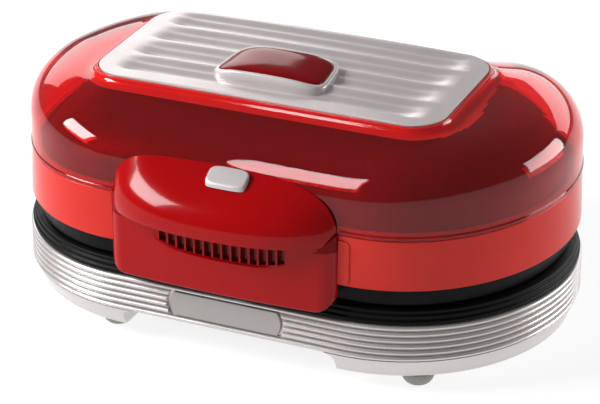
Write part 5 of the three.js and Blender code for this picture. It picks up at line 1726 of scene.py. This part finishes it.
class BURGER_OT_skirt(bpy.types.Operator):
    """Handle skirt with its slotted finger recess"""

    bl_idname = "burger.skirt"
    bl_label = "Handle skirt"

    def execute(self, context):
        handle = sizes("handle")
        floor_y = RING_LOW.y - handle.reach - handle.bow + handle.recess_depth
        left, right = recess_ends()
        slots = slot_middles()
        lines = []
        for x, y, out_x, out_y, on_front in skirt_columns():
            inside = on_front and left <= x <= right
            across = ease(min(x - left, right - x) / handle.recess_side) if inside else 0.0
            slotted = any(abs(x - slot) < handle.slot_width / 2 for slot in slots) and inside
            pad = handle.back_wall + handle.recess_depth + handle.slot_depth if inside else handle.wall
            line = []
            for z, inset, recess, in_slot in skirt_rows(x):
                depth = inset + (floor_y - y) * across * recess if inside else inset
                if slotted and in_slot:
                    depth += handle.slot_depth
                line.append((x - out_x * depth, y - out_y * depth, z))
            top, foot = line[-1][2], line[0][2]
            for z in steps_between(top, foot, BACK_ROWS):
                line.append((x - out_x * pad, y - out_y * pad, z))
            lines.append(line)
        width = len(lines[0])
        last = (len(lines) - 1) * width
        faces = []
        for low in range(0, last, width):
            high = low + width
            for i in range(width):
                after = (i + 1) % width
                faces.append([low + i, high + i, high + after, low + after])
        faces.append(list(range(width)))
        faces.append([last + i for i in range(width)][::-1])
        shape = Shape().add([point for line in lines for point in line], faces)
        piece = make_piece("slotted_skirt", shape, "handle_red", "lid", ["handle_skirt"])
        # The slots' sides and floors take a darker red: painted shade inside the slots
        piece.data.materials.append(finish("slot_red"))
        half_slot = handle.slot_width / 2 + NEAR
        for polygon in piece.data.polygons:
            centre = polygon.center
            behind = centre.y - floor_y
            in_slot = any(abs(centre.x - slot) < half_slot for slot in slots)
            if in_slot and SLOT_SHADE < behind < handle.slot_depth + SLOT_SHADE:
                polygon.material_index = 1
        handle_panel()
        return {"FINISHED"}


def lid_face(z):
    """Depth of the lid's front face over the handle at a height: ring, dome's bead, wall and shoulder."""
    lid = sizes("lid")
    foot, top = ring_plan(), dome_plan()
    ring_top = RING_HIGH.z - lid.ring_lip_rise
    foot_y = foot.centre_y - foot.half_depth
    top_y = top.centre_y - top.half_depth
    if z < ring_top - lid.lip_height:
        share = (z - RING_LOW.z) / (ring_top - RING_LOW.z)
        return foot_y + (top_y - foot_y) * share
    if z < SHELL_LOW.z + lid.lip_height + lid.lip_out:
        return top_y - lid.lip_out
    line = dome_rib(("flank", -1, 0.5), 0.0, shell_form(), SHELL_LOW.z)
    for before, after in zip(line, line[1:]):
        if before.z <= z <= after.z:
            return before.lerp(after, (z - before.z) / max(1e-9, after.z - before.z)).y
    return line[-1].y


def handle_panel():
    """Thin raised panel on the ring's front, which frames the handle."""
    handle, lid = sizes("handle"), sizes("lid")
    low = RING_LOW.z + handle.panel_rise
    high = RING_HIGH.z - lid.ring_lip_rise - lid.lip_height - handle.panel_rise
    half_width = SKIRT_HIGH.x + handle.panel_reach
    outline = squared((0, (low + high) / 2), (half_width, (high - low) / 2), handle.panel_power)
    back = [(x, lid_face(z) + handle.panel_depth, z) for x, z in outline]
    front = [(x, lid_face(z) - handle.panel_depth, z) for x, z in outline]
    make_piece("handle_panel", Shape().rings([back, front]), "ring_red", "lid", edge=FINE_EDGE)


def cap_section(share, faces):
    """One section across the cap: from the front rim over the roof, then down the lid's face."""
    handle = sizes("handle")
    end = abs(share)
    root = RING_LOW.y + handle.root_depth
    taper = handle.right_taper if share > 0 else handle.left_taper
    reach = (root - CAP_LOW.y) * (1 - end ** handle.plan_power) ** taper
    front = root - reach
    back = RING_LOW.y + handle.back_depth - handle.back_curve * share ** 2
    bottom = CAP_LOW.z
    roof_power = handle.right_roof if share > 0 else handle.left_roof
    top = bottom + (CAP_HIGH.z - bottom) * (1 - end ** roof_power) ** handle.roof_taper
    x = share * (SKIRT_HIGH.x - handle.side_inset)
    lip = handle.cap_lip
    section = [(x, front + back_in * lip, bottom + up * lip) for back_in, up in CAP_CHAMFER]
    for turn in steps_between(0, QUARTER_TURN, ROOF_STEPS)[1:]:
        along = math.cos(turn) ** (2 / handle.side_power)
        up = math.sin(turn) ** (2 / handle.side_power)
        lift = handle.shoulder * up + (1 - handle.shoulder) * (1 - along)
        z = bottom + lip + (top - bottom - lip) * lift
        y = back + (front - back) * along
        section.append((x, min(y, faces(z)), z))
    roof_end = section[-1]
    for z in steps_between(roof_end[2], bottom, CAP_ROWS)[1:]:
        section.append((x, min(roof_end[1], faces(z)), z))
    return section


class BURGER_OT_cap(bpy.types.Operator):
    """Handle cap, D-shaped in plan"""

    bl_idname = "burger.cap"
    bl_label = "Handle cap"

    def execute(self, context):
        handle = sizes("handle")
        heights = steps_between(CAP_LOW.z, CAP_HIGH.z, LID_ROWS)
        depths = [lid_face(z) - handle.clearance for z in heights]

        def faces(z):
            share = (z - heights[0]) / (heights[-1] - heights[0]) * (len(heights) - 1)
            index = min(len(heights) - 2, max(0, int(share)))
            return depths[index] + (depths[index + 1] - depths[index]) * held(share - index)

        turns = steps_between(-QUARTER_TURN, QUARTER_TURN, CAP_SECTIONS)
        sections = [cap_section(math.sin(turn) * CAP_REACH, faces) for turn in turns]
        make_piece("domed_cap", Shape().rings(sections), "handle_red", "lid", ["handle_cap"])
        return {"FINISHED"}


class BURGER_OT_button(bpy.types.Operator):
    """Release button on the cap"""

    bl_idname = "burger.button"
    bl_label = "Release button"

    def execute(self, context):
        handle = sizes("handle")
        centre = (handle.pad_x, (BUTTON_LOW.y + BUTTON_HIGH.y) / 2)
        halves = (handle.pad_half_width, (BUTTON_HIGH.y - BUTTON_LOW.y) / 2)
        top, low = BUTTON_HIGH.z, BUTTON_HIGH.z - handle.pad_height
        edge, wall, share = handle.pad_edge, handle.pad_wall, PAD_MIDDLE

        def tilted(outline, z):
            return [(x, y, z - handle.pad_tilt * (BUTTON_HIGH.y - y)) for x, y in outline]

        def outline(inset):
            return squared(centre, (halves[0] - inset, halves[1] - inset), handle.pad_power)

        middle = squared(centre, (halves[0] * share, halves[1] * share), handle.pad_power)
        rings = [tilted(middle, top - wall), tilted(outline(wall), top - wall)]
        rings += [level(outline(wall), low), level(outline(0.0), low)]
        for turn in steps_between(0, QUARTER_TURN, FILLET_STEPS):
            z = top - edge * (1 - math.sin(turn)) - PAD_CROWN
            rings.append(tilted(outline(edge * (1 - math.cos(turn))), z))
        rings.append(tilted(middle, top))
        make_piece("grey_button", Shape().rings(rings), "pale_grey", "button", ["release_button"])
        return {"FINISHED"}


# Hinge, gland and screws


# Brackets: ears, and the plate that they stand on
EAR_RADIUS = 0.006
EAR_WIDTH = 0.006
EAR_FOOT = 0.0035
BRACKET_SHEET = 0.003
BRACKET_HEIGHT = 0.014

# Arms: space to the ears and to the ring, thickness, foot and bend of the strap
ARM_CLEARANCE = 0.0002
ARM_GAP = 0.0003
ARM_SHEET = 0.0032
ARM_FOOT = 0.0013
ARM_BEND = 0.003

# Pins: shank and head, and the share of the head that stands straight
PIN_RADIUS = 0.0025
PIN_HEAD_RADIUS = 0.0036
PIN_HEAD = 0.0012
PIN_RIM = 0.3

# Screws: head and shank, the shank's tip in its radii, and the head's crown as shares of the head
SCREW_RADIUS = 0.0032
SCREW_HEAD = 0.0015
SCREW_EDGE = 0.0002
SHANK_RADIUS = 0.0015
SHANK_TIP = (0.7, 0.6)
HEAD_CROWN = 0.75
HEAD_POWER = 0.6

# The cross in a screw's head, as shares of the head's radius and height
CROSS_REACH = 0.58
CROSS_HALF = 0.13
CROSS_TAPER = 0.6
CROSS_HEIGHTS = (0.25, 1.3)

# Cord gland
GLAND_SLEEVE = 0.0052
GLAND_BORE = 0.0035
GLAND_FLANGE = 0.003
GLAND_ROUND = 0.0012


def screw_mesh(shank):
    """A pan-head screw along +Z, its head's underside at zero, with a cross recess."""
    radius, head = SCREW_RADIUS, SCREW_HEAD
    profile = [
        (0, -shank),
        (SHANK_RADIUS * SHANK_TIP[0], -shank),
        (SHANK_RADIUS, -shank + SHANK_RADIUS * SHANK_TIP[1]),
        (SHANK_RADIUS, 0.0),
        (radius - SCREW_EDGE, 0.0),
        (radius, SCREW_EDGE),
    ]
    crown = head * HEAD_CROWN
    for turn in steps_between(0, QUARTER_TURN, FILLET_STEPS)[:-1]:
        out = radius * math.cos(turn) ** HEAD_POWER
        profile.append((out, head - crown + crown * math.sin(turn)))
    profile.append((0, head))
    body = Shape().lathe(profile, "z", (0, 0, 0), SCREW_STEPS)
    arm, half = radius * CROSS_REACH, radius * CROSS_HALF
    cross = Shape()
    for long_x, long_y in ((arm, half), (half, arm)):
        outline = [(-long_x, -long_y), (long_x, -long_y), (long_x, long_y), (-long_x, long_y)]
        inner = [(x * CROSS_TAPER, y * CROSS_TAPER) for x, y in outline]
        floor, top = (head * share for share in CROSS_HEIGHTS)
        cross.rings([level(inner, floor), level(outline, top)])
    holder = add_object("screw_holder", mesh_of(body, "screw_body"))
    tool = add_object("cross_tool", mesh_of(cross, "cross_tool"))
    cut = holder.modifiers.new("cross", "BOOLEAN")
    cut.operation = "DIFFERENCE"
    cut.solver = "EXACT"
    cut.object = tool
    cut.use_self = True
    mesh = final_mesh(holder)
    for thing in (tool, holder):
        bpy.data.objects.remove(thing)
    mesh.name = "cross_screw"
    shade(mesh, SHARP_ANGLE)
    mesh.materials.append(finish("steel"))
    return mesh


class BURGER_OT_screws(bpy.types.Operator):
    """Cross-recessed screws of the bottom cover and the hinges"""

    bl_idname = "burger.screws"
    bl_label = "Screws"

    def execute(self, context):
        meshes = {}
        for node in frame["nodes"]:
            if "_screw_" not in node or node.startswith("handle"):
                continue
            low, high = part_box(node)
            middle = (low + high) / 2
            if node.startswith("cover"):
                reach, turn = (high - low).z, Matrix.Rotation(HALF_TURN, 4, "X")
                face = Vector((middle.x, middle.y, low.z + SCREW_HEAD))
            else:
                reach, turn = (high - low).y, Matrix.Rotation(-QUARTER_TURN, 4, "X")
                face = Vector((middle.x, high.y - SCREW_HEAD, middle.z))
            key = round(reach, 5)
            if key not in meshes:
                meshes[key] = screw_mesh(reach - SCREW_HEAD)
            place = Matrix.Translation(face) @ turn
            body = frame_body(node)
            place_piece("cross_" + node, meshes[key], "steel", body, [node], matrix=place)
        return {"FINISHED"}


class BURGER_OT_hinge(bpy.types.Operator):
    """Hinge brackets, arms and pins"""

    bl_idname = "burger.hinge"
    bl_label = "Rear hinge"

    def execute(self, context):
        joint = next(joint for joint in frame["joints"] if joint["name"] == "lid_hinge")
        axis = joint["pos_m"][1:]
        for place in ("left", "right"):
            self.bracket(place, *axis)
            self.arm(place, *axis)
            self.pin(place, *axis)
        return {"FINISHED"}

    def bracket(self, place, axis_y, axis_z):
        """Plate with two rounded ears."""
        node = "hinge_bracket_" + place
        low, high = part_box(node)
        radius = EAR_RADIUS
        face, back = low.y, low.y + BRACKET_SHEET
        plate_top, ear_foot = low.z + BRACKET_HEIGHT, low.z + EAR_FOOT
        ear = [(face, ear_foot), (back, ear_foot), (axis_y + radius, axis_z - radius)]
        ear += arc((axis_y, axis_z), radius, 0, HALF_TURN, EAR_STEPS)
        ear += [(axis_y - radius, plate_top), (face, plate_top)]
        plate = [(low.x, face), (high.x, face), (high.x, back), (low.x, back)]
        shape = Shape().prism(plate, low.z, plate_top)
        shape.prism(ear, low.x, low.x + EAR_WIDTH, "x")
        shape.prism(ear, high.x - EAR_WIDTH, high.x, "x")
        make_piece("black_bracket_" + place, shape, "black", "base", [node], PLAIN_EDGE)

    def arm(self, place, axis_y, axis_z):
        """Strap up the ring's back, with its round knuckle below."""
        node = "hinge_arm_" + place
        low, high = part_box(node)
        sides = (low.x + ARM_CLEARANCE, high.x - ARM_CLEARANCE)
        foot = RING_LOW.z + ARM_FOOT
        bottom_y = ring_plan().centre_y + ring_plan().half_depth + ARM_GAP
        top_y = dome_plan().centre_y + dome_plan().half_depth + ARM_GAP
        half_root = EAR_RADIUS * math.sqrt(0.5)
        strap = [
            (bottom_y, axis_z),
            (axis_y, axis_z),
            (axis_y + half_root, axis_z + half_root),
            (bottom_y + ARM_SHEET + ARM_CLEARANCE, foot + ARM_BEND),
            (top_y + ARM_SHEET, high.z),
            (top_y, high.z),
            (bottom_y, foot),
        ]
        shape = Shape().prism(strap, *sides, "x")
        shape.prism(circle((axis_y, axis_z), EAR_RADIUS, KNUCKLE_STEPS), *sides, "x")
        make_piece("black_arm_" + place, shape, "black", "lid", [node], SMALL_EDGE)

    def pin(self, place, axis_y, axis_z):
        """Hinge pin with a domed head at its outer end."""
        node = "hinge_pin_" + place
        low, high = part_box(node)
        side = 1 if place == "right" else -1
        inner, outer = (low.x, high.x) if side > 0 else (high.x, low.x)
        start = outer - side * PIN_HEAD
        profile = [
            (0, inner),
            (PIN_RADIUS - SMALL_EDGE, inner),
            (PIN_RADIUS, inner + side * SMALL_EDGE),
            (PIN_RADIUS, start),
            (PIN_HEAD_RADIUS, start),
        ]
        for turn in steps_between(0, QUARTER_TURN, FILLET_STEPS):
            rise = PIN_HEAD * (PIN_RIM + (1 - PIN_RIM) * math.sin(turn))
            profile.append((PIN_HEAD_RADIUS * math.cos(turn), start + side * rise))
        shape = Shape().lathe(profile, "x", (0, axis_y, axis_z), KNUCKLE_STEPS)
        make_piece("steel_pin_" + place, shape, "steel", "base", [node])


class BURGER_OT_gland(bpy.types.Operator):
    """Cord gland in the rear wall"""

    bl_idname = "burger.gland"
    bl_label = "Cord gland"

    def execute(self, context):
        low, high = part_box("cord_gland")
        centre = ((low.x + high.x) / 2, (low.z + high.z) / 2)
        flange = (high.x - low.x) / 2
        sleeve, bore, rounding = GLAND_SLEEVE, GLAND_BORE, GLAND_ROUND
        face, mouth = high.y - GLAND_FLANGE, high.y - PLAIN_EDGE
        profile = [
            (bore, low.y),
            (sleeve, low.y),
            (sleeve, face),
            (flange - SMALL_EDGE, face),
            (flange, face + SMALL_EDGE),
            (flange, high.y - rounding),
            *arc((flange - rounding, high.y - rounding), rounding, 0, QUARTER_TURN, GLAND_STEPS),
            (sleeve + BROAD_EDGE, high.y),
            (sleeve, mouth),
            (bore + BROAD_EDGE, mouth),
            (bore, mouth - BROAD_EDGE),
        ]
        rings = [
            [(x, along, z) for x, z in circle(centre, radius, ROUND_STEPS)]
            for radius, along in profile
        ]
        shape = Shape().rings(rings, closed=True)
        make_piece("black_gland", shape, "black", "base", ["cord_gland"])
        return {"FINISHED"}


class BURGER_OT_inner_pieces(bpy.types.Operator):
    """Finishes on the CAD nodes, for those that no piece stands for"""

    bl_idname = "burger.inner_pieces"
    bl_label = "Inner pieces"

    def execute(self, context):
        for name, node in frame["nodes"].items():
            material = finish(SLOT_OF[name])
            if not node.material_slots:
                node.data.materials.append(material)
            for slot in node.material_slots:
                slot.material = material
        return {"FINISHED"}


# Stage


# Studio lights: name, width and height, watts and place; all but the bar look at the camera's target
SOFTBOXES = (
    ("key", (0.7, 0.66), 37, (-1.17, -0.74, 0.94)),
    ("shoulder_bar", (0.12, 0.85), 4.6, (-0.555, -0.87, 1.25)),
    ("right_strip", (0.7, 0.46), 9, (1.06, 0.75, 0.26)),
    ("rear_left", (1.0, 0.6), 4.4, (-0.95, 1.0, 0.6)),
    ("rear", (1.2, 0.4), 3.4, (0.15, 1.35, 0.4)),
)

# Where the bar's highlight lies on the dome's shoulder
SHOULDER = (0.03, -0.082, 0.107)

SENSOR_WIDTH = 36
FLOOR_HALF = 6.0


def softbox(name, size, power, place, target):
    """A rectangular studio light that looks at a point."""
    light = bpy.data.lights.new(name, "AREA")
    light.shape = "RECTANGLE"
    light.size, light.size_y = size
    light.energy = power
    holder = add_object(name, light)
    holder.location = place
    holder.visible_camera = False
    holder.rotation_mode = "QUATERNION"
    holder.rotation_quaternion = (Vector(target) - Vector(place)).to_track_quat("-Z", "Y")


def aim_bar(bar, dome):
    """Turns the bar so that its reflection lies along the shoulder, and lights the dome alone."""
    shoulder = Vector(SHOULDER)
    towards = (bar.location - shoulder).normalized()
    along = Vector((0, towards.z, -towards.y)).normalized()
    axes = Matrix((along.cross(towards), along, towards))
    bar.rotation_quaternion = axes.transposed().to_quaternion()
    lit = bpy.data.collections.new("lit_by_" + bar.name)
    lit.objects.link(dome)
    bar.light_linking.receiver_collection = lit


class BURGER_OT_stage(bpy.types.Operator):
    """Floor, studio lights and camera"""

    bl_idname = "burger.stage"
    bl_label = "Stage"

    def execute(self, context):
        stage = sizes("stage")
        floor = bpy.data.meshes.new("floor")
        half = FLOOR_HALF
        corners = [(-half, -half, 0), (half, -half, 0), (half, half, 0), (-half, half, 0)]
        floor.from_pydata(corners, [], [(0, 1, 2, 3)])
        floor.materials.append(finish("floor"))
        add_object("studio_floor", floor)

        target = Vector((stage.target_x, MIDDLE_Y + stage.target_back, stage.target_z))
        azimuth, elevation = math.radians(stage.azimuth), math.radians(stage.elevation)
        towards = Vector((
            math.sin(azimuth) * math.cos(elevation),
            -math.cos(azimuth) * math.cos(elevation),
            math.sin(elevation),
        ))
        camera = add_object("camera", bpy.data.cameras.new("camera"))
        camera.data.sensor_width = SENSOR_WIDTH
        camera.data.lens = stage.lens
        camera.location = target + towards * stage.distance
        camera.rotation_mode = "QUATERNION"
        camera.rotation_quaternion = (-towards).to_track_quat("-Z", "Y")
        camera.data.clip_start, camera.data.clip_end = 0.01, 50
        bpy.context.scene.camera = camera

        world = bpy.data.worlds.new("studio")
        world.use_nodes = True
        background = world.node_tree.nodes["Background"]
        background.inputs["Strength"].default_value = stage.world
        background.inputs["Color"].default_value = (1, 1, 1, 1)
        bpy.context.scene.world = world
        bpy.context.scene.view_settings.view_transform = "Standard"

        for name, size, power, place in SOFTBOXES:
            softbox(name, size, power, place, target)
        aim_bar(bpy.data.objects["shoulder_bar"], bpy.data.objects["ruby_dome"])
        return {"FINISHED"}


class BURGER_PT_panel(bpy.types.Panel):
    """Sizes, colours and builders of the hamburger maker"""

    bl_idname = "BURGER_PT_panel"
    bl_label = "Hamburger maker"
    bl_space_type = "VIEW_3D"
    bl_region_type = "UI"
    bl_category = "Grill"

    def draw(self, context):
        layout = self.layout
        for builder in BUILDERS:
            layout.operator(builder.bl_idname)
        for name, group in GROUPS.items():
            box = layout.box()
            box.label(text=group.__doc__)
            for prop in group.__annotations__:
                box.prop(getattr(context.scene, name), prop)


BUILDERS = (
    BURGER_OT_base_tub,
    BURGER_OT_plaque,
    BURGER_OT_base_rim,
    BURGER_OT_feet,
    BURGER_OT_bottom_cover,
    BURGER_OT_cooking_plates,
    BURGER_OT_collar,
    BURGER_OT_ring,
    BURGER_OT_dome,
    BURGER_OT_liner,
    BURGER_OT_top_plate,
    BURGER_OT_badge,
    BURGER_OT_skirt,
    BURGER_OT_cap,
    BURGER_OT_button,
    BURGER_OT_screws,
    BURGER_OT_hinge,
    BURGER_OT_gland,
    BURGER_OT_inner_pieces,
    BURGER_OT_stage,
)


def register():
    """Registers the settings, the builders and the panel."""
    for name, group in GROUPS.items():
        bpy.utils.register_class(group)
        setattr(bpy.types.Scene, name, PointerProperty(type=group))
    for builder in BUILDERS:
        bpy.utils.register_class(builder)
    bpy.utils.register_class(BURGER_PT_panel)


def unregister():
    """Takes the panel, the builders and the settings out again."""
    bpy.utils.unregister_class(BURGER_PT_panel)
    for builder in reversed(BUILDERS):
        bpy.utils.unregister_class(builder)
    for name, group in GROUPS.items():
        delattr(bpy.types.Scene, name)
        bpy.utils.unregister_class(group)


def main():
    """Registers everything and builds the object."""
    register()
    for builder in BUILDERS:
        module, name = builder.bl_idname.split(".")
        getattr(getattr(bpy.ops, module), name)()


if __name__ == "__main__":
    main()
